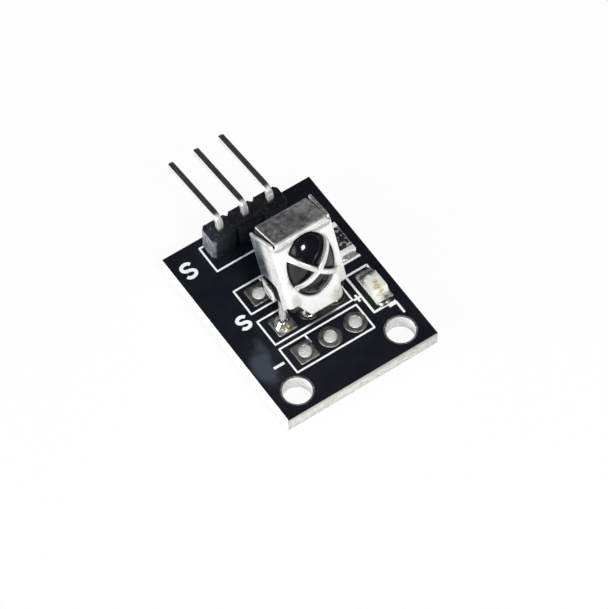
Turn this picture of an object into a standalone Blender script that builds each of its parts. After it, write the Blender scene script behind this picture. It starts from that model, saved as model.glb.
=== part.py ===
"""Infrared receiver module: a small board with a shielded receiver, a bent pin header and two chip parts.

Lengths are in metres. The origin is the middle of the board's underside, +Y runs to the header and +Z up.
"""

import math

import bmesh
import bpy
from mathutils import Vector

# The board
BOARD_WIDTH = 0.0150
BOARD_LENGTH = 0.0190
BOARD_THICKNESS = 0.0016
SCREW_HOLE_DIAMETER = 0.00255
SCREW_HOLE_SPACING = 0.01042
SCREW_HOLE_OFFSET = -0.00010
SCREW_HOLE_FROM_FRONT = 0.00198

# Plated holes, in four rows across the board
PITCH = 0.00254
PINS = 3
ROW_CENTRE_X = -0.00013
FRONT_ROW_Y = -0.00478
RECEIVER_ROW_Y = -0.00150
SPARE_ROW_Y = 0.00212
HEADER_ROW_Y = 0.00793
HOLE_DIAMETER = 0.00110
PLATING = 0.00006
PAD_DIAMETER = 0.00205
SQUARE_PAD = 0.00190
PAD_HEIGHT = 0.00005
FIT = 0.00002

# The header
CELL_DEPTH = 0.00205
CELL_CHAMFER = 0.00030
HOUSING_HEIGHT = 0.00250
HOUSING_EDGE = 0.00006
PIN_SIDE = 0.00054
PIN_BEND_RADIUS = 0.00075
PIN_BEND_HEIGHT = 0.00075
PIN_BEND_ANGLE = math.radians(97.6)
PIN_REACH = 0.00755
PIN_TAIL = 0.00130
PIN_TIP_LENGTH = 0.00022
PIN_TIP_SHARE = 0.65
SOLDER_HEIGHT = 0.00070
SOLDER_NECK_SHARE = 0.22
SOLDER_WAIST_SHARE = 0.35

# The receiver, drawn upright about its leads and leaned back as one
LEAN = math.radians(22.5)
RECEIVER_SHIFT = 0.00023
LEAD_WIDTH = 0.00046
LEAD_TAIL = 0.00130
LEAD_BEND_HEIGHT = 0.00028
LEAD_DEPTH_IN_BODY = 0.00080
LEAD_SPACING_IN_BODY = 0.00230
BODY_BOTTOM = 0.00230
BODY_HEIGHT = 0.00731
BODY_WIDTH = 0.00522
BODY_FRONT = 0.00247
BODY_BACK = 0.00095
BODY_EDGE = 0.00025
LENS_WIDTH = 0.00380
LENS_HEIGHT = 0.00500
LENS_BULGE = 0.00135
SEAT = 0.00004

# The shield, folded from one sheet. Heights with DROP in their name are measured down from its top
SHEET = 0.00025
CAN_CORNER = 0.00035
CAN_DEPTH = 0.00395
WALL_FLARE = 0.00018
WALL_FRONT_DROP = 0.00014
WALL_REAR_DROP = 0.00066
FLAP_DEPTH = 0.00330
FLAP_BEND = 0.00045
FLAP_LIFT = math.radians(3.5)
PLATE_DROP = 0.00680
TONGUE_DROP = 0.00835
TONGUE_WIDTH = 0.00420
TONGUE_CORNER = 0.00055
TONGUE_LEFT_CUT = 0.00100
LEG_DEPTH = 0.00150
LEG_DROP = 0.00765
SLOT_DROP = 0.00500
SLOT_CORNER = 0.00060
SLOT_REAR_DEPTH = 0.00365
SLIT = 0.00014
EAR_DROP = 0.00662
EAR_FRONT_DEPTH = 0.00172
EAR_OUT = 0.00055
WINDOW_WIDTH = 0.00440
WINDOW_HEIGHT = 0.00624
WINDOW_DROP = 0.00352
DOME_HEIGHT = 0.00160
BAR_WIDTH = 0.00040
BAR_REACH = 0.00182

# The indicator and the resistor, two chip parts of one outline
CHIP_PART_LENGTH = 0.00320
CHIP_PART_WIDTH = 0.00160
CHIP_PARTS_X = 0.00565
LED_Y = -0.00290
LED_BASE_HEIGHT = 0.00036
LED_TERMINAL = 0.00050
LED_TERMINAL_WALL = 0.00006
LED_LENS_LENGTH = 0.00205
LED_LENS_HEIGHT = 0.00074
LED_LENS_DRAFT = math.radians(6.0)
LED_DIE_SIDE = 0.00042
LED_DIE_HEIGHT = 0.00016
LED_DIE_ROOM = 0.00012
RESISTOR_Y = 0.00255
RESISTOR_HEIGHT = 0.00055
RESISTOR_CAP = 0.00048
RESISTOR_CAP_WALL = 0.00005
CHIP_SOLDER_REACH = 0.00042
CHIP_SOLDER_CLIMB = 0.80
CHIP_SOLDER_WAIST = (0.36, 0.42)
CHIP_SEAT = 0.00004

CURVE_UNITS = 1000.0
ROUND_STEPS = 32
TURN_STEPS = 24
ARC_STEPS = 6
ROW_OFFSETS = [(pin - (PINS - 1) / 2) * PITCH for pin in range(PINS)]
LEAD_OFFSETS = [(lead - (PINS - 1) / 2) * LEAD_SPACING_IN_BODY for lead in range(PINS)]
BOARD_TOP = BOARD_THICKNESS
BODY_TOP = BODY_BOTTOM + BODY_HEIGHT
CAN_TOP = BODY_TOP + SEAT + SHEET
CAN_FRONT = -(BODY_FRONT + SEAT + SHEET)
CAN_WIDTH = BODY_WIDTH + 2 * (SEAT + SHEET)
CAN_BACK = CAN_FRONT + CAN_DEPTH
FLAP_WIDTH = CAN_WIDTH - 2 * (SHEET + FIT)
RECEIVER_X = ROW_CENTRE_X + RECEIVER_SHIFT


def collection(name):
    """A collection of its own under the scene."""
    made = bpy.data.collections.new(name)
    bpy.context.scene.collection.children.link(made)
    return made


def clear_scene():
    """Start from an empty scene."""
    for old in list(bpy.data.objects):
        bpy.data.objects.remove(old, do_unlink=True)


clear_scene()
PARTS = collection("infrared_receiver_module")
CUTTERS = collection("cutters")


def material(name, colour, roughness, metallic=0.0, alpha=1.0):
    """A Principled material with the part's own colour, roughness and metallic value."""
    made = bpy.data.materials.new(name)
    made.use_nodes = True
    shader = made.node_tree.nodes["Principled BSDF"]
    shader.inputs["Base Color"].default_value = (*colour, 1.0)
    shader.inputs["Roughness"].default_value = roughness
    shader.inputs["Metallic"].default_value = metallic
    shader.inputs["Alpha"].default_value = alpha
    return made


def place(thing, name, group, look=None, parent=None):
    """Name an object, give it its material and move it to its collection."""
    thing.name = name
    thing.data.name = name
    for held in list(thing.users_collection):
        held.objects.unlink(thing)
    group.objects.link(thing)
    if look is not None:
        thing.data.materials.clear()
        thing.data.materials.append(look)
    if parent is not None:
        thing.parent = parent
    return thing


def part(thing, name, look, parent=None):
    """A piece of the module."""
    return place(thing, name, PARTS, look, parent)


def cutter(thing, name, parent=None):
    """A tool for a Boolean, hidden from the render."""
    place(thing, name, CUTTERS, parent=parent)
    thing.hide_render = True
    thing.display_type = "WIRE"
    return thing


def apply_scale(thing):
    """Put an object's scale into its mesh, so that bevels keep their width."""
    for vertex in thing.data.vertices:
        vertex.co = Vector(a * b for a, b in zip(vertex.co, thing.scale))
    thing.scale = (1.0, 1.0, 1.0)


def box(low, high):
    """A box between two corners."""
    low, high = Vector(low), Vector(high)
    bpy.ops.mesh.primitive_cube_add(size=1.0, location=(low + high) / 2)
    made = bpy.context.object
    made.scale = high - low
    apply_scale(made)
    return made


def cylinder(diameter, low_z, high_z, x, y):
    """An upright cylinder."""
    bpy.ops.mesh.primitive_cylinder_add(
        vertices=ROUND_STEPS,
        radius=diameter / 2,
        depth=high_z - low_z,
        location=(x, y, (low_z + high_z) / 2),
    )
    return bpy.context.object


def ellipsoid(centre, semi_axes, segments=40, rings=20):
    """A sphere stretched to three half sizes, with its poles along Z."""
    bpy.ops.mesh.primitive_uv_sphere_add(segments=segments, ring_count=rings, radius=1.0, location=centre)
    made = bpy.context.object
    made.scale = semi_axes
    apply_scale(made)
    return made


def mesh_copy(thing):
    """A curve, drawn in millimetres because curves fill small outlines badly, as a mesh with welded caps."""
    bpy.context.view_layer.update()
    evaluated = thing.evaluated_get(bpy.context.evaluated_depsgraph_get())
    mesh = bpy.data.meshes.new_from_object(evaluated)
    body = bmesh.new()
    body.from_mesh(mesh)
    bmesh.ops.remove_doubles(body, verts=body.verts, dist=0.001)
    bmesh.ops.recalc_face_normals(body, faces=body.faces)
    bmesh.ops.dissolve_limit(body, angle_limit=math.radians(0.5), verts=body.verts, edges=body.edges)
    bmesh.ops.scale(body, vec=[1 / CURVE_UNITS] * 3, verts=body.verts)
    body.to_mesh(mesh)
    body.free()
    made = bpy.data.objects.new(thing.name, mesh)
    made.matrix_world = thing.matrix_world
    bpy.context.scene.collection.objects.link(made)
    bpy.data.objects.remove(thing, do_unlink=True)
    return made


def plate(points, thickness):
    """A flat outline in XY, filled and given a thickness about Z = 0."""
    curve = bpy.data.curves.new("outline", "CURVE")
    curve.dimensions = "2D"
    curve.fill_mode = "BOTH"
    curve.extrude = thickness / 2 * CURVE_UNITS
    spline = curve.splines.new("POLY")
    spline.points.add(len(points) - 1)
    for corner, (x, y) in zip(spline.points, points):
        corner.co = (x * CURVE_UNITS, y * CURVE_UNITS, 0.0, 1.0)
    spline.use_cyclic_u = True
    thing = bpy.data.objects.new("outline", curve)
    bpy.context.scene.collection.objects.link(thing)
    return mesh_copy(thing)


def upright_plate(points, low_z, high_z):
    """A plan outline in XY between two heights."""
    made = plate(points, high_z - low_z)
    made.location.z = (low_z + high_z) / 2
    return made


def front_plate(points, front_y, back_y):
    """An outline in XZ as seen from the front, between two depths."""
    made = plate(points, back_y - front_y)
    made.rotation_euler.x = math.pi / 2
    made.location.y = (front_y + back_y) / 2
    return made


def side_plate(points, width):
    """An outline in YZ as seen from the right, of a width centred on X = 0."""
    made = plate(points, width)
    made.rotation_euler = (math.pi / 2, 0.0, math.pi / 2)
    return made


def arc(centre, radius, start, end, steps=ARC_STEPS):
    """Points of an arc in a plane, both ends with it."""
    return [
        (
            centre[0] + radius * math.cos(start + (end - start) * step / steps),
            centre[1] + radius * math.sin(start + (end - start) * step / steps),
        )
        for step in range(steps + 1)
    ]


def ellipse(centre, semi_axes, steps=2 * ROUND_STEPS):
    """Points of an ellipse in a plane."""
    turns = [2 * math.pi * step / steps for step in range(steps)]
    return [(centre[0] + semi_axes[0] * math.cos(t), centre[1] + semi_axes[1] * math.sin(t)) for t in turns]


def turned(profile, x, y):
    """A closed ring turned about an upright axis from (radius, height) points, outer side first."""
    mesh = bpy.data.meshes.new("turned")
    edges = [(k, (k + 1) % len(profile)) for k in range(len(profile))]
    mesh.from_pydata([(radius, 0.0, height) for radius, height in profile], edges, [])
    thing = bpy.data.objects.new("turned", mesh)
    bpy.context.scene.collection.objects.link(thing)
    thing.location = (x, y, 0.0)
    screw = thing.modifiers.new("turn", "SCREW")
    screw.steps = TURN_STEPS
    screw.render_steps = TURN_STEPS
    screw.use_merge_vertices = True
    screw.merge_threshold = 1e-7
    return thing


def square_wire(points, side, radii):
    """A square wire along points, thinner where its radius share is under one."""
    half = side / 2 * CURVE_UNITS
    section = bpy.data.curves.new("section", "CURVE")
    section.dimensions = "2D"
    corners = section.splines.new("POLY")
    corners.points.add(3)
    for corner, (x, y) in zip(corners.points, ((half, half), (-half, half), (-half, -half), (half, -half))):
        corner.co = (x, y, 0.0, 1.0)
    corners.use_cyclic_u = True
    guide = bpy.data.objects.new("section", section)
    cutter(guide, "section")
    curve = bpy.data.curves.new("wire", "CURVE")
    curve.dimensions = "3D"
    curve.bevel_mode = "OBJECT"
    curve.bevel_object = guide
    curve.use_fill_caps = True
    spline = curve.splines.new("POLY")
    spline.points.add(len(points) - 1)
    for corner, point, share in zip(spline.points, points, radii):
        corner.co = (*(point * CURVE_UNITS), 1.0)
        corner.radius = share
    thing = bpy.data.objects.new("wire", curve)
    bpy.context.scene.collection.objects.link(thing)
    made = mesh_copy(thing)
    bpy.data.objects.remove(guide, do_unlink=True)
    return made


def boolean(thing, other, operation):
    """Cut, join or intersect an object with another."""
    step = thing.modifiers.new(operation.lower(), "BOOLEAN")
    step.operation = operation
    step.solver = "EXACT"
    step.object = other
    return thing


def cut(thing, *others):
    """Take each of the others away from an object."""
    for other in others:
        boolean(thing, other, "DIFFERENCE")
    return thing


def join(thing, *others):
    """Make an object and the others one body."""
    for other in others:
        boolean(thing, other, "UNION")
    return thing


def bevel(thing, width, segments=1, angle=math.radians(40.0)):
    """Round the edges that are sharper than an angle."""
    step = thing.modifiers.new("edge", "BEVEL")
    step.width = width
    step.segments = segments
    step.limit_method = "ANGLE"
    step.angle_limit = angle
    return thing


def smooth(thing):
    """Shade round faces smooth and keep sharp corners sharp."""
    thing.data.shade_smooth()
    thing.data.set_sharp_from_angle(angle=math.radians(35.0))
    return thing


def row_places(y):
    """The three hole positions of a row."""
    return [(ROW_CENTRE_X + offset, y) for offset in ROW_OFFSETS]


def screw_hole_places():
    """The two screw holes, near the front corners."""
    y = -BOARD_LENGTH / 2 + SCREW_HOLE_FROM_FRONT
    return [(SCREW_HOLE_OFFSET + side * SCREW_HOLE_SPACING / 2, y) for side in (-1, 1)]


def hole_places():
    """Every plated hole with the name of its row."""
    rows = (
        ("front", FRONT_ROW_Y),
        ("receiver", RECEIVER_ROW_Y),
        ("spare", SPARE_ROW_Y),
        ("header", HEADER_ROW_Y),
    )
    return [(row, number, x, y) for row, row_y in rows for number, (x, y) in enumerate(row_places(row_y), 1)]


def make_board(look):
    """The board with its screw holes and the drillings for the eyelets."""
    half = Vector((BOARD_WIDTH / 2, BOARD_LENGTH / 2))
    board = part(box((-half.x, -half.y, 0.0), (half.x, half.y, BOARD_THICKNESS)), "circuit_board", look)
    reach = BOARD_THICKNESS
    drill = HOLE_DIAMETER + 2 * (PLATING + FIT)
    holes = [cylinder(SCREW_HOLE_DIAMETER, -reach, 2 * reach, x, y) for x, y in screw_hole_places()]
    holes += [cylinder(drill, -reach, 2 * reach, x, y) for _, _, x, y in hole_places()]
    for number, hole in enumerate(holes, 1):
        cut(board, cutter(hole, f"board_drill_{number}"))


def make_eyelet(name, x, y, square, look):
    """A plated hole: a thin barrel with a pad on each face, square on top at the first pin."""
    inner = HOLE_DIAMETER / 2
    barrel = inner + PLATING
    pad = PAD_DIAMETER / 2
    top = BOARD_TOP + FIT
    bottom = -FIT
    profile = [
        (inner, top + PAD_HEIGHT),
        (pad, top + PAD_HEIGHT),
        (pad, top),
        (barrel, top),
        (barrel, bottom),
        (pad, bottom),
        (pad, bottom - PAD_HEIGHT),
        (inner, bottom - PAD_HEIGHT),
    ]
    if not square:
        return smooth(part(turned(profile, x, y), name, look))
    half = SQUARE_PAD / 2
    eyelet = box((x - half, y - half, top), (x + half, y + half, top + PAD_HEIGHT))
    lower = box((x - half, y - half, bottom - PAD_HEIGHT), (x + half, y + half, bottom))
    sleeve = cylinder(2 * barrel, bottom - PAD_HEIGHT / 2, top + PAD_HEIGHT / 2, x, y)
    bore = cylinder(HOLE_DIAMETER, -BOARD_THICKNESS, 2 * BOARD_THICKNESS, x, y)
    join(eyelet, cutter(sleeve, f"{name}_sleeve"), cutter(lower, f"{name}_lower_pad"))
    cut(eyelet, cutter(bore, f"{name}_bore"))
    return part(eyelet, name, look)


def make_eyelets(look):
    """The twelve plated holes. The first of each row has square pads."""
    for row, number, x, y in hole_places():
        make_eyelet(f"{row}_eyelet_{number}", x, y, number == 1, look)


def make_housing(look):
    """The header's moulded strip: three cells with chamfered corners and a square way for each pin."""
    bottom = BOARD_TOP + FIT + PAD_HEIGHT + SEAT
    top = bottom + HOUSING_HEIGHT
    near = HEADER_ROW_Y - CELL_DEPTH / 2
    far = HEADER_ROW_Y + CELL_DEPTH / 2
    joints = [ROW_CENTRE_X + (cell - PINS / 2) * PITCH for cell in range(PINS + 1)]
    housing = part(box((joints[0], near, bottom), (joints[-1], far, top)), "header_housing", look)
    half = CELL_CHAMFER / math.sqrt(2.0)
    for number, (x, y) in enumerate([(x, y) for x in joints for y in (near, far)], 1):
        post = box((x - half, y - half, 0.0), (x + half, y + half, 2 * top))
        post.rotation_euler.z = math.pi / 4
        cut(housing, cutter(post, f"cell_notch_{number}"))
    half = PIN_SIDE / 2 + FIT
    for number, (x, y) in enumerate(row_places(HEADER_ROW_Y), 1):
        way = box((x - half, y - half, 0.0), (x + half, y + half, 2 * top))
        cut(housing, cutter(way, f"pin_way_{number}"))
    bevel(housing, HOUSING_EDGE)


def pin_path(x):
    """A pin's centre line: up through the board and housing, then bent over to the rear."""
    start = BOARD_TOP + HOUSING_HEIGHT + PIN_BEND_HEIGHT
    centre = (HEADER_ROW_Y + PIN_BEND_RADIUS, start)
    bend = arc(centre, PIN_BEND_RADIUS, math.pi, math.pi - PIN_BEND_ANGLE)
    slope = math.pi / 2 - PIN_BEND_ANGLE
    along = Vector((0.0, math.cos(slope), math.sin(slope)))
    foot = [Vector((x, HEADER_ROW_Y, -PIN_TAIL)), Vector((x, HEADER_ROW_Y, -PIN_TAIL + PIN_TIP_LENGTH))]
    bent = [Vector((x, y, z)) for y, z in bend]
    run = (HEADER_ROW_Y + PIN_REACH - bent[-1].y) / along.y
    return foot + bent + [bent[-1] + along * (run - PIN_TIP_LENGTH), bent[-1] + along * run]


def make_pins(look):
    """The three bent pins, each drawn to a blunt point at both ends."""
    for number, (x, _) in enumerate(row_places(HEADER_ROW_Y), 1):
        path = pin_path(x)
        shares = [PIN_TIP_SHARE] + [1.0] * (len(path) - 2) + [PIN_TIP_SHARE]
        part(square_wire(path, PIN_SIDE, shares), f"header_pin_{number}", look)


def make_joint(name, x, y, wire_side, above, below, look):
    """A solder joint: a sleeve in the hole round a square wire, with a hollow cone where it may spread."""
    sleeve = HOLE_DIAMETER / 2 - FIT
    wire = wire_side / 2 * math.sqrt(2.0) + FIT
    pad = PAD_DIAMETER / 2 - FIT
    neck = wire + (pad - wire) * SOLDER_NECK_SHARE
    waist = neck + (pad - neck) * SOLDER_WAIST_SHARE
    top = BOARD_TOP + 2 * FIT + PAD_HEIGHT
    bottom = -2 * FIT - PAD_HEIGHT
    if above:
        outer = [(neck, top + above), (waist, top + above * SOLDER_WAIST_SHARE), (pad, top), (sleeve, top)]
    else:
        outer = [(sleeve, top - PAD_HEIGHT)]
    outer += [(sleeve, bottom), (pad, bottom)]
    outer += [(waist, bottom - below * SOLDER_WAIST_SHARE), (neck, bottom - below)]
    inner = [(wire, outer[-1][1]), (wire, outer[0][1])]
    return smooth(part(turned(outer + inner, x, y), name, look))


def make_header_solder(look):
    """The header's joints, spread on the underside only."""
    for number, (x, y) in enumerate(row_places(HEADER_ROW_Y), 1):
        make_joint(f"header_solder_{number}", x, y, PIN_SIDE, 0.0, SOLDER_HEIGHT, look)


def make_receiver_solder(look):
    """The receiver's joints, spread on both faces but no higher than the leads stand upright."""
    for number, (x, y) in enumerate(row_places(RECEIVER_ROW_Y), 1):
        make_joint(f"receiver_solder_{number}", x, y, LEAD_WIDTH, LEAD_BEND_HEIGHT, SOLDER_HEIGHT, look)


def leaned(x, y, z):
    """A point of the upright receiver, after it leans back about its leads' feet."""
    return Vector(
        (
            RECEIVER_X + x,
            RECEIVER_ROW_Y + y * math.cos(LEAN) + z * math.sin(LEAN),
            BOARD_TOP - y * math.sin(LEAN) + z * math.cos(LEAN),
        )
    )


def make_leads(look):
    """The receiver's leads: straight in the board, bent just above it and straight again into the body."""
    for number, (x, y) in enumerate(row_places(RECEIVER_ROW_Y), 1):
        offset = LEAD_OFFSETS[number - 1]
        bend = BOARD_TOP + LEAD_BEND_HEIGHT + PAD_HEIGHT + 3 * FIT
        path = [
            Vector((x, y, -LEAD_TAIL)),
            Vector((x, y, bend)),
            leaned(offset, 0.0, BODY_BOTTOM - LEAD_WIDTH / 2),
            leaned(offset, 0.0, BODY_BOTTOM + LEAD_DEPTH_IN_BODY - SEAT),
        ]
        part(square_wire(path, LEAD_WIDTH, [1.0] * len(path)), f"receiver_lead_{number}", look)


def lean_frame():
    """The empty that carries the receiver's upright pieces and leans them back."""
    frame = bpy.data.objects.new("receiver_lean", None)
    PARTS.objects.link(frame)
    frame.location = (RECEIVER_X, RECEIVER_ROW_Y, BOARD_TOP)
    frame.rotation_euler.x = -LEAN
    return frame


def make_body(frame, look):
    """The moulded receiver: a block with rounded edges, a domed lens and three slots for the leads."""
    half = BODY_WIDTH / 2
    body = box((-half, -BODY_FRONT, BODY_BOTTOM), (half, BODY_BACK, BODY_TOP))
    part(body, "receiver_body", look, frame)
    bevel(body, BODY_EDGE, segments=2)
    lens = ellipsoid(
        (0.0, -BODY_FRONT + FIT, CAN_TOP - WINDOW_DROP),
        (LENS_WIDTH / 2, LENS_BULGE, LENS_HEIGHT / 2),
    )
    join(body, cutter(lens, "lens_dome", frame))
    slot = LEAD_WIDTH / 2 + FIT
    for number, offset in enumerate(LEAD_OFFSETS, 1):
        way = box(
            (offset - slot, -slot, BODY_BOTTOM - LEAD_WIDTH),
            (offset + slot, slot, BODY_BOTTOM + LEAD_DEPTH_IN_BODY),
        )
        cut(body, cutter(way, f"lead_way_{number}", frame))
    return smooth(body)


def can_plan():
    """The shield's plan: a front wall and two side walls, flared to the rear, as one bent strip of sheet."""
    half = CAN_WIDTH / 2
    outer_corner = CAN_FRONT + CAN_CORNER
    outer = [(-half - WALL_FLARE, CAN_BACK)]
    outer += arc((-half + CAN_CORNER, outer_corner), CAN_CORNER, math.pi, 1.5 * math.pi)
    outer += arc((half - CAN_CORNER, outer_corner), CAN_CORNER, 1.5 * math.pi, 2.0 * math.pi)
    outer.append((half + WALL_FLARE, CAN_BACK))
    inner_radius = CAN_CORNER - SHEET
    inner = [(half + WALL_FLARE - SHEET, CAN_BACK)]
    inner += arc((half - CAN_CORNER, outer_corner), inner_radius, 2.0 * math.pi, 1.5 * math.pi)
    inner += arc((-half + CAN_CORNER, outer_corner), inner_radius, 1.5 * math.pi, math.pi)
    inner.append((-half - WALL_FLARE + SHEET, CAN_BACK))
    return outer + inner


def plate_feet():
    """What is cut off below the front wall, left and right of the tongue, in front view."""
    foot = CAN_TOP - PLATE_DROP
    low = CAN_TOP - TONGUE_DROP
    half = TONGUE_WIDTH / 2
    left = [(-half, foot), (-half + TONGUE_LEFT_CUT, low), (-half + TONGUE_LEFT_CUT, low - SHEET)]
    left += [(-CAN_WIDTH, low - SHEET), (-CAN_WIDTH, foot)]
    centre = (half - TONGUE_CORNER, low + TONGUE_CORNER)
    right = [(half, foot)] + arc(centre, TONGUE_CORNER, 0.0, -math.pi / 2)
    right += [(half - TONGUE_CORNER, low - SHEET), (CAN_WIDTH, low - SHEET), (CAN_WIDTH, foot)]
    return left, right


def wall_foot():
    """What is cut off below the side walls, in side view: a leg stays in front and a hanger at the rear."""
    low = CAN_TOP - TONGUE_DROP - SHEET
    slot = CAN_TOP - SLOT_DROP
    leg = CAN_FRONT + LEG_DEPTH
    hanger = CAN_FRONT + SLOT_REAR_DEPTH
    centre = (leg + SLOT_CORNER, slot - SLOT_CORNER)
    outline = [(CAN_FRONT + CAN_CORNER, low), (CAN_FRONT + CAN_CORNER, CAN_TOP - PLATE_DROP)]
    outline.append((leg, CAN_TOP - LEG_DROP))
    outline += arc(centre, SLOT_CORNER, math.pi, math.pi / 2)
    outline += [(hanger, slot), (hanger, CAN_TOP - EAR_DROP), (2 * CAN_DEPTH, CAN_TOP - EAR_DROP)]
    outline.append((2 * CAN_DEPTH, low))
    return outline


def wall_top():
    """What is cut off above the side walls, which fall away to the rear."""
    front = CAN_FRONT + CAN_CORNER
    return [
        (front, CAN_TOP - WALL_FRONT_DROP),
        (CAN_BACK, CAN_TOP - WALL_REAR_DROP),
        (CAN_BACK + SHEET, CAN_TOP - WALL_REAR_DROP),
        (CAN_BACK + SHEET, CAN_TOP + CAN_DEPTH),
        (front, CAN_TOP + CAN_DEPTH),
    ]


def flap_profile():
    """The top flap's side view: up the front wall, round the bend and back along the top."""
    overlap = CAN_TOP - 2 * FLAP_BEND
    centre = (CAN_FRONT + FLAP_BEND, CAN_TOP - FLAP_BEND)
    last = math.pi / 2 + FLAP_LIFT
    outer = [(CAN_FRONT, overlap)] + arc(centre, FLAP_BEND, math.pi, last)
    inner = arc(centre, FLAP_BEND - SHEET, last, math.pi) + [(CAN_FRONT + SHEET, overlap)]
    run = FLAP_DEPTH - FLAP_BEND
    along = Vector((math.cos(FLAP_LIFT), math.sin(FLAP_LIFT))) * run
    outer_end = (outer[-1][0] + along.x, outer[-1][1] + along.y)
    inner_end = (inner[0][0] + along.x, inner[0][1] + along.y)
    return outer + [outer_end, inner_end] + inner


def cross_outline(sign):
    """One bar of the cross in the front view, running from corner to corner of the window."""
    along = Vector((1.0, sign)).normalized()
    reach = Vector((BAR_REACH, sign * BAR_REACH)) + along * SHEET
    across = Vector((-along.y, along.x)) * BAR_WIDTH / 2
    middle = Vector((0.0, CAN_TOP - WINDOW_DROP))
    ends = (middle - reach, middle + reach)
    corners = (ends[0] - across, ends[1] - across, ends[1] + across, ends[0] + across)
    return [tuple(corner) for corner in corners]


def make_cross(frame):
    """The cross over the window: a drawn dome of the sheet, of which only two bars are left."""
    centre = (0.0, CAN_FRONT + SHEET, CAN_TOP - WINDOW_DROP)
    hollow_axes = Vector((WINDOW_WIDTH / 2, DOME_HEIGHT, WINDOW_HEIGHT / 2))
    dome = ellipsoid(centre, hollow_axes + Vector((SHEET, SHEET, SHEET)))
    hollow = ellipsoid(centre, hollow_axes)
    front = CAN_FRONT - 2 * DOME_HEIGHT
    back = CAN_FRONT + SHEET - FIT
    bars = front_plate(cross_outline(1), front, back)
    other = front_plate(cross_outline(-1), front, back)
    cutter(bars, "cross_bars", frame)
    join(bars, cutter(other, "cross_bar_2", frame))
    cutter(dome, "cross", frame)
    cut(dome, cutter(hollow, "dome_hollow", frame))
    return boolean(dome, bars, "INTERSECT")


def ear_plan(side):
    """An ear's plan: it starts in the wall's rear edge and swings out to a free front end."""
    face = CAN_WIDTH / 2 + WALL_FLARE
    length = CAN_BACK - (CAN_FRONT + EAR_FRONT_DEPTH)
    out = EAR_OUT - WALL_FLARE
    turns = [math.pi / 2 * step / ARC_STEPS for step in range(ARC_STEPS + 1)]
    outer = [(face + out * math.sin(t), CAN_BACK - length * (1.0 - math.cos(t))) for t in turns]
    rise = out - SHEET
    inner = [
        (face + rise * math.sin(t), CAN_BACK - SHEET - (length - SHEET) * (1.0 - math.cos(t)))
        for t in reversed(turns)
    ]
    rim = [(face - SHEET, CAN_BACK - SHEET), (face - SHEET, CAN_BACK)]
    return [(side * x, y) for x, y in outer + inner + rim]


def ear_view():
    """An ear's side view, with a rounded upper front corner beside the slot's."""
    front = CAN_FRONT + EAR_FRONT_DEPTH
    top = CAN_TOP - SLOT_DROP - SLIT
    foot = CAN_TOP - EAR_DROP
    corner = arc((front + SLOT_CORNER, top - SLOT_CORNER), SLOT_CORNER, math.pi, math.pi / 2)
    return [(CAN_BACK + SHEET, foot), (front, foot)] + corner + [(CAN_BACK + SHEET, top)]


def make_ears(can, frame):
    """The ears at the foot of the side walls, hanging on the strip of wall behind each slot."""
    for name, side in (("left", -1), ("right", 1)):
        ear = upright_plate(ear_plan(side), CAN_TOP - TONGUE_DROP, CAN_TOP - SLOT_DROP)
        cutter(ear, f"{name}_ear", frame)
        boolean(ear, cutter(side_plate(ear_view(), 2 * CAN_WIDTH), f"{name}_ear_view", frame), "INTERSECT")
        join(can, ear)


def make_can(frame, look):
    """The shield: a bent strip trimmed at its edges, with a window, a cross, a top flap and two ears."""
    can = part(upright_plate(can_plan(), CAN_TOP - TONGUE_DROP, CAN_TOP), "shield_can", look, frame)
    for name, outline in zip(("left", "right"), plate_feet()):
        foot = front_plate(outline, CAN_FRONT - SHEET, CAN_FRONT + CAN_CORNER)
        cut(can, cutter(foot, f"{name}_plate_foot", frame))
    for name, outline in (("wall_foot", wall_foot()), ("wall_top", wall_top())):
        cut(can, cutter(side_plate(outline, 2 * CAN_WIDTH), name, frame))
    notch = box(
        (-CAN_WIDTH, 2 * CAN_FRONT, CAN_TOP - FLAP_BEND),
        (CAN_WIDTH, CAN_FRONT + CAN_CORNER, 2 * CAN_TOP),
    )
    cut(can, cutter(notch, "can_top_notch", frame))
    flap = side_plate(flap_profile(), FLAP_WIDTH)
    join(can, cutter(flap, "can_flap", frame))
    opening = ellipse((0.0, CAN_TOP - WINDOW_DROP), (WINDOW_WIDTH / 2, WINDOW_HEIGHT / 2))
    window = front_plate(opening, CAN_FRONT - SHEET, CAN_FRONT + 2 * SHEET)
    cut(can, cutter(window, "can_window", frame))
    join(can, make_cross(frame))
    make_ears(can, frame)
    return smooth(can)


def make_chip_solder(name, y, side, height, look):
    """A solder fillet from a chip part's end down to the board, hollow in side view."""
    end = y + side * (CHIP_PART_LENGTH / 2 + FIT)
    toe = end + side * CHIP_SOLDER_REACH
    low = BOARD_TOP + FIT
    high = low + height * CHIP_SOLDER_CLIMB
    waist_y, waist_z = CHIP_SOLDER_WAIST
    middle = (end + side * CHIP_SOLDER_REACH * waist_y, low + (high - low) * waist_z)
    outline = [(end, low), (toe, low), middle, (end, high)]
    fillet = side_plate(outline if side > 0 else outline[::-1], CHIP_PART_WIDTH)
    fillet.location.x = CHIP_PARTS_X
    return part(fillet, name, look)


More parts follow.
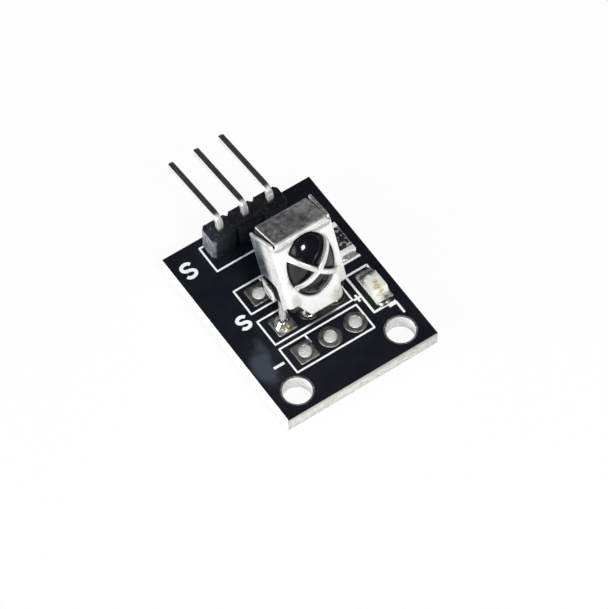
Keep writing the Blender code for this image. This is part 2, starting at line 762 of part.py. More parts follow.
def make_chip_ends(kind, y, height, length, wall, looks):
    """The two metal ends of a chip part, wrapped round it as open caps, and their solder."""
    half_width = CHIP_PART_WIDTH / 2
    bottom = BOARD_TOP + CHIP_SEAT
    for number, side in enumerate((-1, 1), 1):
        outer = y + side * CHIP_PART_LENGTH / 2
        inner = outer - side * length
        low_y, high_y = sorted((outer, inner))
        cap = box(
            (CHIP_PARTS_X - half_width, low_y, bottom),
            (CHIP_PARTS_X + half_width, high_y, bottom + height),
        )
        part(cap, f"{kind[0]}_{number}", looks[0])
        hollow_low, hollow_high = sorted((outer - side * wall, inner - side * length))
        hollow = box(
            (CHIP_PARTS_X - 2 * half_width, hollow_low, bottom + wall),
            (CHIP_PARTS_X + 2 * half_width, hollow_high, bottom + height - wall),
        )
        cut(cap, cutter(hollow, f"{kind[0]}_hollow_{number}"))
        make_chip_solder(f"{kind[1]}_{number}", y, side, height, looks[1])


def make_resistor(body_look, metal_look, solder_look):
    """The chip resistor: a flat ceramic body between two wrapped metal ends."""
    wall = RESISTOR_CAP_WALL
    half_width = CHIP_PART_WIDTH / 2
    half_length = CHIP_PART_LENGTH / 2 - wall - FIT
    bottom = BOARD_TOP + CHIP_SEAT + wall + FIT
    body = box(
        (CHIP_PARTS_X - half_width, RESISTOR_Y - half_length, bottom),
        (CHIP_PARTS_X + half_width, RESISTOR_Y + half_length, bottom + RESISTOR_HEIGHT - 2 * (wall + FIT)),
    )
    part(body, "resistor_body", body_look)
    ends = ("resistor_cap", "resistor_solder")
    make_chip_ends(ends, RESISTOR_Y, RESISTOR_HEIGHT, RESISTOR_CAP, wall, (metal_look, solder_look))


def make_led_lens(bottom, look):
    """The clear lens: a block with drafted sides and a pocket underneath over the die."""
    half_width = CHIP_PART_WIDTH / 2 - FIT
    half_length = LED_LENS_LENGTH / 2
    lens = box(
        (CHIP_PARTS_X - half_width, LED_Y - half_length, bottom),
        (CHIP_PARTS_X + half_width, LED_Y + half_length, bottom + LED_LENS_HEIGHT),
    )
    part(lens, "led_lens", look)
    inset = LED_LENS_HEIGHT * math.tan(LED_LENS_DRAFT)
    for vertex in lens.data.vertices:
        if vertex.co.z > 0.0:
            vertex.co.x -= math.copysign(inset, vertex.co.x)
            vertex.co.y -= math.copysign(2 * inset, vertex.co.y)
    room = LED_DIE_SIDE / 2 + LED_DIE_ROOM
    pocket = box(
        (CHIP_PARTS_X - room, LED_Y - room, bottom - LED_LENS_HEIGHT),
        (CHIP_PARTS_X + room, LED_Y + room, bottom + LED_DIE_HEIGHT + LED_DIE_ROOM),
    )
    return cut(lens, cutter(pocket, "die_pocket"))


def make_led(base_look, metal_look, die_look, lens_look, solder_look):
    """The indicator: a board base between wrapped ends, a die on it and a clear lens over the die."""
    wall = LED_TERMINAL_WALL
    half_width = CHIP_PART_WIDTH / 2
    half_length = CHIP_PART_LENGTH / 2 - wall - FIT
    bottom = BOARD_TOP + CHIP_SEAT + wall + FIT
    top = bottom + LED_BASE_HEIGHT - 2 * (wall + FIT)
    base = box(
        (CHIP_PARTS_X - half_width, LED_Y - half_length, bottom),
        (CHIP_PARTS_X + half_width, LED_Y + half_length, top),
    )
    part(base, "led_base", base_look)
    ends = ("led_terminal", "led_solder")
    make_chip_ends(ends, LED_Y, LED_BASE_HEIGHT, LED_TERMINAL, wall, (metal_look, solder_look))
    half_die = LED_DIE_SIDE / 2
    die = box(
        (CHIP_PARTS_X - half_die, LED_Y - half_die, top + FIT),
        (CHIP_PARTS_X + half_die, LED_Y + half_die, top + FIT + LED_DIE_HEIGHT),
    )
    part(die, "led_chip", die_look)
    make_led_lens(top + FIT, lens_look)


def make_module():
    """Every piece of the module, each kind with its own material."""
    make_board(material("board_black", (0.012, 0.014, 0.018), 0.35))
    make_eyelets(material("pad_tin", (0.42, 0.42, 0.40), 0.45, 1.0))
    make_housing(material("header_black", (0.016, 0.018, 0.022), 0.45))
    make_pins(material("pin_metal", (0.45, 0.42, 0.34), 0.30, 1.0))
    solder = material("solder", (0.70, 0.70, 0.68), 0.25, 1.0)
    make_header_solder(solder)
    make_receiver_solder(solder)
    make_leads(material("lead_metal", (0.62, 0.62, 0.60), 0.30, 1.0))
    frame = lean_frame()
    make_body(frame, material("receiver_black", (0.010, 0.009, 0.013), 0.18))
    make_can(frame, material("shield_tinplate", (0.72, 0.72, 0.70), 0.32, 1.0))
    end_metal = material("end_metal", (0.66, 0.66, 0.64), 0.35, 1.0)
    make_led(
        material("led_base_white", (0.62, 0.63, 0.52), 0.55),
        end_metal,
        material("led_die", (0.45, 0.32, 0.12), 0.40),
        material("led_clear", (0.86, 0.90, 0.74), 0.08, alpha=0.35),
        solder,
    )
    make_resistor(material("resistor_dark", (0.02, 0.02, 0.024), 0.40), end_metal, solder)


make_module()
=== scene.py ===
"""Looks of the infrared receiver module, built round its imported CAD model.

Lengths are in metres unless a name says mm. Places and reaches in a finish are in millimetres.
"""

import math

import bmesh
import bpy
from mathutils import Matrix, Vector, noise


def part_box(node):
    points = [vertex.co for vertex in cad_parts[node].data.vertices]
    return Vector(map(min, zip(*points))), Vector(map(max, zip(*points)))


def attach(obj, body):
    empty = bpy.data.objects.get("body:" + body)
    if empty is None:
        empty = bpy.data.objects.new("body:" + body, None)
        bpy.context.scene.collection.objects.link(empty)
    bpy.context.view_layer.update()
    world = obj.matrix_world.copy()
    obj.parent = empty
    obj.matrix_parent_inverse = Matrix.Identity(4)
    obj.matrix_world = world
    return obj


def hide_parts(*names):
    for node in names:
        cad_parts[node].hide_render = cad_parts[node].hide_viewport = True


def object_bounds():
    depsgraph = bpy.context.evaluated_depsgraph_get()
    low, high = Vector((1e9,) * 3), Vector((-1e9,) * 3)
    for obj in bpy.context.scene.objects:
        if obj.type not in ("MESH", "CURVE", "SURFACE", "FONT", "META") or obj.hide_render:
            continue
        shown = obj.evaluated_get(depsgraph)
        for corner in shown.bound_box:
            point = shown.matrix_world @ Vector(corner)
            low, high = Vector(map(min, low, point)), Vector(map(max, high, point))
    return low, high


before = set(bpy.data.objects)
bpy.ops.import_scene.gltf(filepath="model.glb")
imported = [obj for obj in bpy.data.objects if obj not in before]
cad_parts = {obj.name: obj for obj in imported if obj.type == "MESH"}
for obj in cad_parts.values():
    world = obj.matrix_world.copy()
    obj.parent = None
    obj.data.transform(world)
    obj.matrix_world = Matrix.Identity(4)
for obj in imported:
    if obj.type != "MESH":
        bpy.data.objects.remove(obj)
cad_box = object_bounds()

MM = 0.001
LEFT = (-1.0, 0.0, 0.0)
RIGHT = (1.0, 0.0, 0.0)
FRONT = (0.0, -1.0, 0.0)
REAR = (0.0, 1.0, 0.0)
UP = (0.0, 0.0, 1.0)
DOWN = (0.0, 0.0, -1.0)

# The board
BOARD_HALF = Vector((7.5, 9.5)) * MM
BOARD_TOP = 1.6 * MM
MASK_THICKNESS = 0.03 * MM
MASK_SETBACK = 0.03 * MM
SCREW_HOLES = [Vector((x, -7.52)) * MM for x in (-5.31, 5.11)]
SCREW_HOLE_RADIUS = 1.275 * MM
SCREW_HOLE_MARGIN = 0.17 * MM

# The plated holes
ROW_X = [x * MM for x in (-2.67, -0.13, 2.41)]
FRONT_Y = -4.78 * MM
RECEIVER_Y = -1.50 * MM
SPARE_Y = 2.12 * MM
HEADER_Y = 7.93 * MM
HOLE_RADIUS = 0.55 * MM
PAD_RADIUS = 1.025 * MM
PAD_THICKNESS = 0.06 * MM
SQUARE_PAD_HALF = 0.95 * MM
SQUARE_PAD_CORNER = 0.10 * MM

# The header
PIN_SIDE = 0.54 * MM
PIN_BEND_RADIUS = 0.75 * MM
PIN_BEND_START = BOARD_TOP + 3.25 * MM
PIN_BEND_ANGLE = math.radians(97.6)
PIN_BEND_STEPS = 16
PIN_REACH = 7.55 * MM
PIN_FOOT = [z * MM for z in (-1.30, -1.22, -1.08, 0.0)]
PIN_TIP = [d * MM for d in (0.26, 0.10, 0.0)]
TAIL = 1.30 * MM
WIRE_CORNER = 0.05 * MM

# The solder joints
JOINT_NECK = 0.36 * MM
JOINT_LIFT = 0.05 * MM
JOINT_BELOW = 0.72 * MM
JOINT_FOOT_BELOW = 0.96 * MM
JOINT_HOLLOW = 1.7
JOINT_WAVE = 0.35 * MM
JOINT_ROUGHNESS = 0.10 * MM
JOINT_STEPS = (0.15, 0.3, 0.45, 0.6, 0.75, 0.9, 1.0)

# The receiver, drawn upright about its leads' feet and leaned back
LEAN = math.radians(22.5)
LEANED = Matrix.Translation((0.10 * MM, RECEIVER_Y, BOARD_TOP)) @ Matrix.Rotation(-LEAN, 4, "X")
LEAD_WIDTH = 0.46 * MM
LEAD_SPACING_IN_BODY = 2.30 * MM
LEAD_BEND = 0.30 * MM
BODY_BOTTOM = 2.30 * MM
BODY_TOP = 9.61 * MM
BODY_HALF_WIDTH = 2.61 * MM
BODY_FRONT = -2.47 * MM
BODY_BACK = 0.95 * MM
BODY_CORNER = 0.25 * MM
LENS_REACH = (2.12 * MM, 1.35 * MM, 2.95 * MM, 1.0)

# The shield
CAN_TOP = 9.90 * MM
CAN_FRONT = -2.76 * MM
CAN_HALF_WIDTH = 2.90 * MM
SHEET = 0.25 * MM
CAN_UP = (0.0, math.sin(LEAN), math.cos(LEAN))
CAN_OUT = (0.0, -math.cos(LEAN), math.sin(LEAN))
WINDOW_MIDDLE = CAN_TOP - 3.52 * MM
WINDOW_HALF_WIDTH = 2.20 * MM
WINDOW_HALF_HEIGHT = 3.12 * MM
WINDOW_STEPS = 96
FLAP_BEND = 0.45 * MM
FLAP_HALF_WIDTH = CAN_HALF_WIDTH - SHEET - 0.02 * MM
CREASE_HEIGHT = CAN_TOP - 0.62 * MM
CREASE_DEPTH = 0.070 * MM
CREASE_REACH = 0.17 * MM
SWING_START = 0.4 * MM
SWING_RUN = 3.5 * MM
LEFT_SWING = 0.16 * MM
RIGHT_SWING = 0.22 * MM
RIGHT_LIFT = 0.42 * MM
CROSS_HEIGHT = 1.72 * MM
CROSS_ROUNDNESS = 1.65
CROSS_MARGIN = 0.12 * MM
BAR_WIDTH = 0.48 * MM
BAR_THICKNESS = 0.30 * MM
BAR_CORNER = 0.07 * MM
BAR_LENGTH = 4.6 * MM
BAR_STEPS = 56
ROOT_REACH = 0.45 * MM
ROOT_WIDER = 0.30
ROOT_THINNER = 0.5
ROOT_RINGS = 2
ROOT_RING_STEP = 0.14 / 3.6
BAR_SHADE_FROM = 0.45
BAR_SHADE_RUN = 0.45
OFF_THE_BARS = 9.0
RIM_SHADE = 0.07
RIM_LIMIT = 1.12
CROSS_BARS = [
    (Vector((-1.90, -1.07)) * MM, Vector((1.90, 1.84)) * MM),
    (Vector((1.90, -1.49)) * MM, Vector((-1.90, 1.87)) * MM),
]

# The two chip parts
CHIP_X = 5.65 * MM
CHIP_HALF_WIDTH = 0.80 * MM
CHIP_HALF_LENGTH = 1.60 * MM
LED_Y = -2.90 * MM
RESISTOR_Y = 2.55 * MM
FILLET_REACH = 0.44 * MM
FILLET_HOLLOW = 1.9
FILLET_CROWN = 5


# Shapes


def link(name, data):
    """A mesh, a camera or a lamp as an object of the scene, at the origin."""
    thing = bpy.data.objects.new(name, data)
    bpy.context.scene.collection.objects.link(thing)
    return thing


def from_bmesh(name, body, place=None, turn_out=True):
    """A built shape as an object, with its faces turned outwards and its place in the mesh."""
    if turn_out:
        bmesh.ops.recalc_face_normals(body, faces=body.faces)
    if place is not None:
        bmesh.ops.transform(body, matrix=place, verts=body.verts)
    mesh = bpy.data.meshes.new(name)
    body.to_mesh(mesh)
    body.free()
    return link(name, mesh)


def frame_copy(node, name):
    """A copy of a CAD node with its loose triangles merged into plain faces."""
    body = bmesh.new()
    body.from_mesh(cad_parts[node].data)
    bmesh.ops.remove_doubles(body, verts=body.verts, dist=0.002 * MM)
    bmesh.ops.dissolve_limit(body, angle_limit=math.radians(1.0), verts=body.verts, edges=body.edges)
    return from_bmesh(name, body)


def plain(thing):
    """The object with its modifiers made into a plain mesh."""
    bpy.context.view_layer.update()
    evaluated = thing.evaluated_get(bpy.context.evaluated_depsgraph_get())
    mesh = bpy.data.meshes.new_from_object(evaluated)
    thing.modifiers.clear()
    thing.data = mesh
    return thing


def shade(thing, angle):
    """Smooth shading that keeps corners sharper than an angle in degrees."""
    thing.data.shade_smooth()
    thing.data.set_sharp_from_angle(angle=math.radians(angle))
    return thing


def eased(thing, width, segments=2, angle=28.0):
    """The object with its corners rounded by a small width."""
    thing.data.shade_smooth()
    edge = thing.modifiers.new("eased corners", "BEVEL")
    edge.width = width
    edge.segments = segments
    edge.limit_method = "ANGLE"
    edge.angle_limit = math.radians(angle)
    edge.harden_normals = True
    return shade(plain(thing), 40.0)


def combine(thing, tool, operation):
    """Cut or join an object with another, which is used up."""
    step = thing.modifiers.new("combine", "BOOLEAN")
    step.operation = operation
    step.solver = "EXACT"
    step.object = tool
    plain(thing)
    bpy.data.objects.remove(tool, do_unlink=True)


def joined(name, things, turn_out=False):
    """Several objects as one."""
    body = bmesh.new()
    for thing in things:
        body.from_mesh(thing.data)
        bpy.data.objects.remove(thing, do_unlink=True)
    return from_bmesh(name, body, turn_out=turn_out)


def block(name, low, high):
    """A block between two corners."""
    body = bmesh.new()
    bmesh.ops.create_cube(body, size=1.0)
    for vertex in body.verts:
        share = vertex.co + Vector((0.5, 0.5, 0.5))
        vertex.co = Vector(a + (b - a) * s for a, b, s in zip(Vector(low), Vector(high), share))
    return from_bmesh(name, body)


def bridge(body, rings):
    """Faces between each two neighbours in a row of closed rings."""
    for first, second in zip(rings, rings[1:]):
        for k in range(len(first)):
            n = (k + 1) % len(first)
            body.faces.new((first[k], first[n], second[n], second[k]))


def capped(body, rings):
    """Faces along a row of closed rings and over its two ends."""
    bridge(body, rings)
    body.faces.new(rings[0])
    body.faces.new(rings[-1])


def turned(name, profile, x, y, steps, wobble):
    """A closed shape turned about an upright line from (radius, height) points, each moved by a wobble."""
    body = bmesh.new()
    rings = []
    for radius, height in profile:
        ring = []
        for step in range(steps):
            turn = 2 * math.pi * step / steps
            reach, lift = wobble(turn, radius, height)
            ring.append(body.verts.new((x + reach * math.cos(turn), y + reach * math.sin(turn), lift)))
        rings.append(ring)
    if profile[0] == profile[-1]:
        bridge(body, rings)
    else:
        capped(body, rings)
    bmesh.ops.remove_doubles(body, verts=body.verts, dist=1e-8)
    return shade(from_bmesh(name, body), 50.0)


def rounded_square(width, height, corner):
    """The outline of a bar's section, with rounded corners."""
    steps = 3
    points = []
    for quarter, (sx, sy) in enumerate(((1, 1), (-1, 1), (-1, -1), (1, -1))):
        for step in range(steps + 1):
            turn = math.pi / 2 * (quarter + step / steps)
            across = sx * (width / 2 - corner) + corner * math.cos(turn)
            points.append((across, sy * (height / 2 - corner) + corner * math.sin(turn)))
    return points


def heading(path, k):
    """The direction of a path at one of its points."""
    return (path[min(k + 1, len(path) - 1)] - path[max(k - 1, 0)]).normalized()


def swept(name, path, section, shares=None):
    """A closed bar that carries a section along a path, at full size or at a share of it."""
    body = bmesh.new()
    rings = []
    for k, point in enumerate(path):
        ahead = heading(path, k)
        across = (Vector(RIGHT) - ahead * ahead.x).normalized()
        over = across.cross(ahead)
        share = shares[k] if shares else 1.0
        rings.append([body.verts.new(point + (across * a + over * b) * share) for a, b in section])
    capped(body, rings)
    return shade(from_bmesh(name, body), 50.0)


def eased_path(points, reach):
    """A bent line with each inner corner rounded over a short reach."""
    steps = 6
    path = [points[0]]
    for before, corner, after in zip(points, points[1:], points[2:]):
        start = corner + (before - corner).normalized() * min(reach, (before - corner).length / 2)
        end = corner + (after - corner).normalized() * min(reach, (after - corner).length / 2)
        for step in range(steps + 1):
            t = step / steps
            path.append(start * (1 - t) ** 2 + corner * 2 * t * (1 - t) + end * t * t)
    return path + [points[-1]]


def uneven(point, size, depth, seed):
    """A smooth random height over a surface, the same each time."""
    return depth * noise.noise(Vector(point) / size + Vector((seed, 2 * seed, 3 * seed)))


# Trees of nodes


class Nodes:
    """A tree of nodes while it is built."""

    def __init__(self, tree):
        self.tree = tree

    def add(self, kind, inputs=None, **settings):
        """A node with its settings, and its inputs set or linked."""
        made = self.tree.nodes.new(kind)
        for name, value in settings.items():
            setattr(made, name, value)
        for name, value in (inputs or {}).items():
            self.wire(made.inputs[name], value)
        return made

    def wire(self, socket, value):
        """Link an output, or a node's first output, to a socket, or set the socket's value."""
        if isinstance(value, bpy.types.Node):
            value = value.outputs[0]
        if isinstance(value, bpy.types.NodeSocket):
            self.tree.links.new(value, socket)
        else:
            socket.default_value = value

    def math(self, operation, first, second):
        """One sum of two values."""
        return self.add("ShaderNodeMath", {0: first, 1: second}, operation=operation).outputs[0]

    def vector(self, operation, first, second=None):
        """One sum of a vector with another, with a number, or by itself."""
        inputs = {0: first}
        if second is not None:
            inputs["Scale" if operation == "SCALE" else 1] = second
        made = self.add("ShaderNodeVectorMath", inputs, operation=operation)
        return made.outputs["Value" if operation in ("DOT_PRODUCT", "LENGTH") else "Vector"]

    def between(self, value, low, high, ease="LINEAR"):
        """How far a value has gone from one limit to the other, from 0 to 1."""
        inputs = {"Value": value, "From Min": low, "From Max": high}
        return self.add("ShaderNodeMapRange", inputs, interpolation_type=ease).outputs[0]


class Group(Nodes):
    """A node group while it is built, with one output. An input is given by its first value or its type."""

    kinds = {float: "NodeSocketFloat", tuple: "NodeSocketVector"}

    def __init__(self, name, kind, output, output_kind, inputs):
        super().__init__(bpy.data.node_groups.new(name, kind))
        self.identifiers = {}
        for socket, value in inputs.items():
            named = isinstance(value, str)
            socket_kind = value if named else self.kinds[type(value)]
            label = socket.replace("_", " ")
            made = self.tree.interface.new_socket(label, in_out="INPUT", socket_type=socket_kind)
            if not named:
                made.default_value = value
            self.identifiers[socket] = made.identifier
        self.tree.interface.new_socket(output, in_out="OUTPUT", socket_type=output_kind)
        self.given = self.add("NodeGroupInput").outputs
        self.result = self.add("NodeGroupOutput").inputs[0]


class Growth(Group):
    """A Geometry Nodes tree, which ends in real geometry with its material."""

    def __init__(self, name, **inputs):
        sockets = {"Geometry": "NodeSocketGeometry", **inputs}
        super().__init__(name, "GeometryNodeTree", "Geometry", "NodeSocketGeometry", sockets)

    def close(self, shape, look):
        """Make a shape real, give it its material and put it out."""
        real = self.add("GeometryNodeRealizeInstances", {0: shape})
        self.wire(self.result, self.add("GeometryNodeSetMaterial", {"Geometry": real, "Material": look}))
        return self

    def grown(self, name, places, lines, **inputs):
        """What the tree makes of points and lines, as an object with a plain mesh."""
        mesh = bpy.data.meshes.new(name)
        mesh.from_pydata(places, lines, [])
        thing = link(name, mesh)
        step = thing.modifiers.new(name, "NODES")
        step.node_group = self.tree
        for socket, value in inputs.items():
            step[self.identifiers[socket]] = value
        return plain(thing)


# Effects that several finishes share


EFFECTS = {}


class Effect(Group):
    """A shared effect: a shader node group that puts out one value."""

    def __init__(self, name, output, **inputs):
        super().__init__(name, "ShaderNodeTree", output, "NodeSocketFloat", inputs)
        EFFECTS[name] = self.tree

    def millimetres(self):
        """Object coordinates in millimetres."""
        return self.vector("SCALE", self.add("ShaderNodeTexCoord").outputs["Object"], 1 / MM)

    def normal(self):
        """The way that the surface faces."""
        return self.add("ShaderNodeNewGeometry").outputs["Normal"]

    def cloud(self, place, scale, detail=3.0, roughness=0.55, distortion=0.0):
        """Noise over a place."""
        inputs = {"Vector": place, "Scale": scale, "Detail": detail, "Roughness": roughness}
        return self.add("ShaderNodeTexNoise", {**inputs, "Distortion": distortion}).outputs["Fac"]

    def give(self, value):
        """Put the value out."""
        self.wire(self.result, value)


def make_mottle():
    """Soft patches with a share of finer grain."""
    made = Effect("mottle", "Value", Patches=2.0, Grain=12.0, Grain_Share=0.35)
    share = made.given["Grain Share"]
    place = made.millimetres()
    patches = made.cloud(place, made.given["Patches"])
    patches = made.math("MULTIPLY", patches, made.math("SUBTRACT", 1.0, share))
    grain = made.math("MULTIPLY", made.cloud(place, made.given["Grain"]), share)
    made.give(made.between(made.math("ADD", patches, grain), 0.33, 0.67))


def make_specks():
    """Separate specks where noise rises above a level."""
    made = Effect("specks", "Mask", Scale=8.0, Above=0.62, Softness=0.04)
    above = made.given["Above"]
    dots = made.cloud(made.millimetres(), made.given["Scale"], detail=2.0)
    made.give(made.between(dots, above, made.math("ADD", above, made.given["Softness"])))


def make_streaks():
    """Streaks, drawn long where they are few to the millimetre."""
    made = Effect("streaks", "Value", Per_Millimetre=(1.0, 1.0, 1.0), Wander=0.1)
    spaced = made.vector("MULTIPLY", made.millimetres(), made.given["Per Millimetre"])
    lines = made.cloud(spaced, 1.0, roughness=0.6, distortion=made.given["Wander"])
    made.give(made.between(lines, 0.3, 0.7))


def make_dust():
    """Fine specks on the faces that look up."""
    made = Effect("dust", "Mask", Scale=7.0, Above=0.68)
    above = made.given["Above"]
    dots = made.cloud(made.millimetres(), made.given["Scale"], detail=4.0, roughness=0.7)
    seen = made.between(dots, above, made.math("ADD", above, 0.10))
    upward = made.add("ShaderNodeSeparateXYZ", {0: made.normal()}).outputs["Z"]
    made.give(made.math("MULTIPLY", seen, made.math("MAXIMUM", upward, 0.0)))


def make_facing():
    """Where a surface faces a direction."""
    made = Effect("facing", "Mask", Direction=UP, From=0.6, Full=0.9)
    towards = made.vector("DOT_PRODUCT", made.normal(), made.given["Direction"])
    made.give(made.between(towards, made.given["From"], made.given["Full"]))


def make_ramp():
    """A soft step from one place to another along a direction."""
    made = Effect("ramp", "Mask", Direction=REAR, From=0.0, Full=1.0)
    along = made.vector("DOT_PRODUCT", made.millimetres(), made.given["Direction"])
    made.give(made.between(along, made.given["From"], made.given["Full"], "SMOOTHSTEP"))


def make_patch():
    """A soft patch with a ragged edge about a place."""
    made = Effect("patch", "Mask", Centre=(0.0, 0.0, 0.0), Reach=(1.0, 1.0, 1.0), Ragged=0.5)
    place = made.millimetres()
    away = made.vector("SUBTRACT", place, made.given["Centre"])
    far = made.vector("LENGTH", made.vector("DIVIDE", away, made.given["Reach"]))
    torn = made.math("SUBTRACT", made.cloud(place, 1.4, detail=5.0, roughness=0.6), 0.5)
    torn = made.math("MULTIPLY", torn, made.given["Ragged"])
    made.give(made.between(made.math("ADD", far, torn), 1.0, 0.35, "SMOOTHSTEP"))


def make_effects():
    """Every effect that the finishes share."""
    for make in (make_mottle, make_specks, make_streaks, make_dust, make_facing, make_ramp, make_patch):
        make()


# Finishes


class Finish(Nodes):
    """A material while it is built: its shader and the nodes that feed it."""

    def __init__(self, name, **fixed):
        self.material = bpy.data.materials.new(name)
        self.material.use_nodes = True
        super().__init__(self.material.node_tree)
        self.shader = self.tree.nodes["Principled BSDF"]
        self.feed(**fixed)

    def feed(self, **values):
        """Set the shader's sockets, or link outputs to them."""
        for socket, value in values.items():
            self.wire(self.shader.inputs[socket.replace("_", " ")], value)

    def effect(self, name, **inputs):
        """One of the shared effects, with this material's own values."""
        values = {socket.replace("_", " "): value for socket, value in inputs.items()}
        return self.add("ShaderNodeGroup", values, node_tree=EFFECTS[name]).outputs[0]

    def spread(self, value, low, high):
        """A value from 0 to 1 spread between two others."""
        return self.add("ShaderNodeMapRange", {"Value": value, "To Min": low, "To Max": high}).outputs[0]

    def blend(self, mask, first, second):
        """One colour turning into another where a mask is 1."""
        made = self.add("ShaderNodeMix", {"Factor": mask}, data_type="RGBA")
        # A Mix node's colours are its inputs 6 and 7 and its output 2
        for socket, colour in zip(made.inputs[6:8], (first, second)):
            self.wire(socket, colour if isinstance(colour, bpy.types.NodeSocket) else (*colour, 1.0))
        return made.outputs[2]

    def tint(self, base, mask, share, colour):
        """A base turned by a share into another colour where a mask is 1."""
        return self.blend(self.math("MULTIPLY", mask, share), base, colour)

    def stain(self, base, colour, ragged, *patches):
        """A base with patches of another colour, each given by its centre, its reach and its share."""
        for centre, reach, share in patches:
            patch = self.effect("patch", Centre=centre, Reach=reach, Ragged=ragged)
            base = self.tint(base, patch, share, colour)
        return base

    def done(self, height, depth_mm, **values):
        """The material with its shader fed and a bump of a real depth from a height between 0 and 1."""
        bump = self.add("ShaderNodeBump", {"Height": height, "Strength": 1.0, "Distance": depth_mm * MM})
        self.feed(Normal=bump, **values)
        return self.material


def solder_mask():
    """Blue-black solder mask, with a pale smudge at its left, brown flux under the shield, and dust."""
    made = Finish("solder_mask_black", IOR=1.42)
    tone = made.effect("mottle", Patches=0.6, Grain=5.0, Grain_Share=0.4)
    base = made.blend(tone, (0.0040, 0.0058, 0.0096), (0.0080, 0.0105, 0.0160))
    smudges = (((-6.4, -4.3, 1.6), (1.25, 2.3, 1.0), 0.55), ((-5.5, -2.6, 1.6), (0.6, 1.6, 1.0), 0.35))
    base = made.stain(base, (0.078, 0.091, 0.122), 0.9, *smudges)
    base = made.stain(base, (0.060, 0.054, 0.044), 0.9, ((1.9, -2.2, 1.6), (2.2, 0.8, 1.0), 0.6))
    base = made.tint(base, made.effect("dust", Scale=3.1, Above=0.70), 0.22, (0.30, 0.31, 0.32))
    weave = made.effect("mottle", Patches=1.3, Grain=14.0, Grain_Share=0.25)
    return made.done(weave, 0.006, Base_Color=base, Roughness=made.spread(tone, 0.30, 0.44))


def bare_laminate():
    """The sawn laminate, with painted light and shade: near white at its sides as if brightly lit, darker in
    front in painted shade with grime, a painted shadow along the top of its front edge, mottled painted shade
    with pits on the holes' far walls, and painted dark shade on its rims.
    """
    made = Finish("bare_laminate", IOR=1.50)
    layers = made.effect("streaks", Per_Millimetre=(0.7, 0.7, 8.0), Wander=0.5)
    saw = made.effect("streaks", Per_Millimetre=(7.0, 7.0, 0.7), Wander=0.3)
    pits = made.effect("specks", Scale=5.0, Above=0.56, Softness=0.12)
    # Painted light: the sides are made near white, as if brightly lit
    lit_white = made.blend(layers, (0.92, 0.93, 0.93), (0.98, 0.98, 0.98))
    # Painted shade, mottled with pits, on the far walls of the holes, which face the front
    far_wall_shade = made.effect("facing", Direction=FRONT, From=0.10, Full=0.60)
    mottled_shade_and_pits = made.math("MAXIMUM", made.effect("mottle", Patches=2.4, Grain=9.0, Grain_Share=0.6), pits)
    lit_white = made.tint(lit_white, far_wall_shade, made.spread(mottled_shade_and_pits, 0.15, 0.80), (0.42, 0.41, 0.38))
    # Painted shade with grime: the sawn front edge is darker than the sides
    sawn = made.blend(layers, (0.40, 0.39, 0.36), (0.66, 0.65, 0.61))
    sawn = made.tint(sawn, saw, 0.40, (0.78, 0.77, 0.74))
    sawn = made.tint(sawn, pits, 0.6, (0.20, 0.19, 0.17))
    # Painted shadow along the top of the front edge, under the mask's edge
    sawn = made.tint(sawn, made.effect("ramp", Direction=UP, From=0.95, Full=1.45), 0.5, (0.30, 0.28, 0.24))
    base = made.blend(made.effect("ramp", Direction=FRONT, From=9.3, Full=9.45), lit_white, sawn)
    # Painted dark shade on the rims that face up, round the holes and the edges
    rims = made.blend(made.effect("mottle", Patches=2.0, Grain=9.0), (0.03, 0.03, 0.03), (0.20, 0.195, 0.185))
    base = made.blend(made.effect("facing"), base, rims)
    height = made.math("ADD", saw, layers)
    return made.done(height, 0.020, Base_Color=base, Roughness=made.spread(saw, 0.60, 0.85))


def white_ink():
    """Printed ink: a slightly cool white with pinholes, darkened where a line runs under the shield."""
    made = Finish("white_ink", IOR=1.45)
    worn = made.effect("specks", Scale=9.0, Above=0.66, Softness=0.05)
    tone = made.effect("mottle", Patches=2.0, Grain=9.0, Grain_Share=0.5)
    base = made.blend(tone, (0.91, 0.93, 0.95), (0.98, 0.99, 1.0))
    base = made.tint(base, worn, 0.7, (0.10, 0.12, 0.15))
    # Darker where the line runs under the shield
    base = made.stain(base, (0.10, 0.10, 0.105), 0.4, ((0.40, -2.86, 1.6), (2.0, 0.6, 1.0), 0.92))
    return made.done(tone, 0.008, Base_Color=base, Roughness=made.spread(tone, 0.45, 0.65))


def pad_tin():
    """Levelled tin on the pads: grey, mottled and stained, darkened under the shield by flux and painted
    shade, painted brighter down in the holes as if lit.
    """
    made = Finish("pad_tin", Metallic=1.0)
    tone = made.effect("mottle", Patches=2.6, Grain=14.0, Grain_Share=0.5)
    base = made.blend(tone, (0.22, 0.22, 0.21), (0.60, 0.60, 0.58))
    stains = made.effect("specks", Scale=3.4, Above=0.58, Softness=0.12)
    base = made.tint(base, stains, 0.7, (0.10, 0.10, 0.10))
    # Flux and painted shade darken the pads under the shield
    flux_and_shade_marks = [((x, -1.5, 1.6), (1.9, 1.9, 4.0), 1.0) for x in (-0.13, 2.41)]
    base = made.stain(base, (0.040, 0.037, 0.032), 0.4, *flux_and_shade_marks)
    # Painted light: the hole walls are made brighter than the pads, as if lit
    bright = made.blend(tone, (0.56, 0.56, 0.54), (0.92, 0.92, 0.90))
    for direction, height in ((UP, 1.60), (DOWN, 0.0)):
        rim = made.effect("ramp", Direction=direction, From=height - 0.01, Full=height + 0.01)
        bright = made.blend(rim, bright, base)
    upward = made.effect("facing", From=0.15, Full=0.7)
    downward = made.effect("facing", Direction=DOWN, From=0.15, Full=0.7)
    base = made.blend(made.math("MAXIMUM", upward, downward), bright, base)
    return made.done(tone, 0.012, Base_Color=base, Roughness=made.spread(tone, 0.34, 0.52))


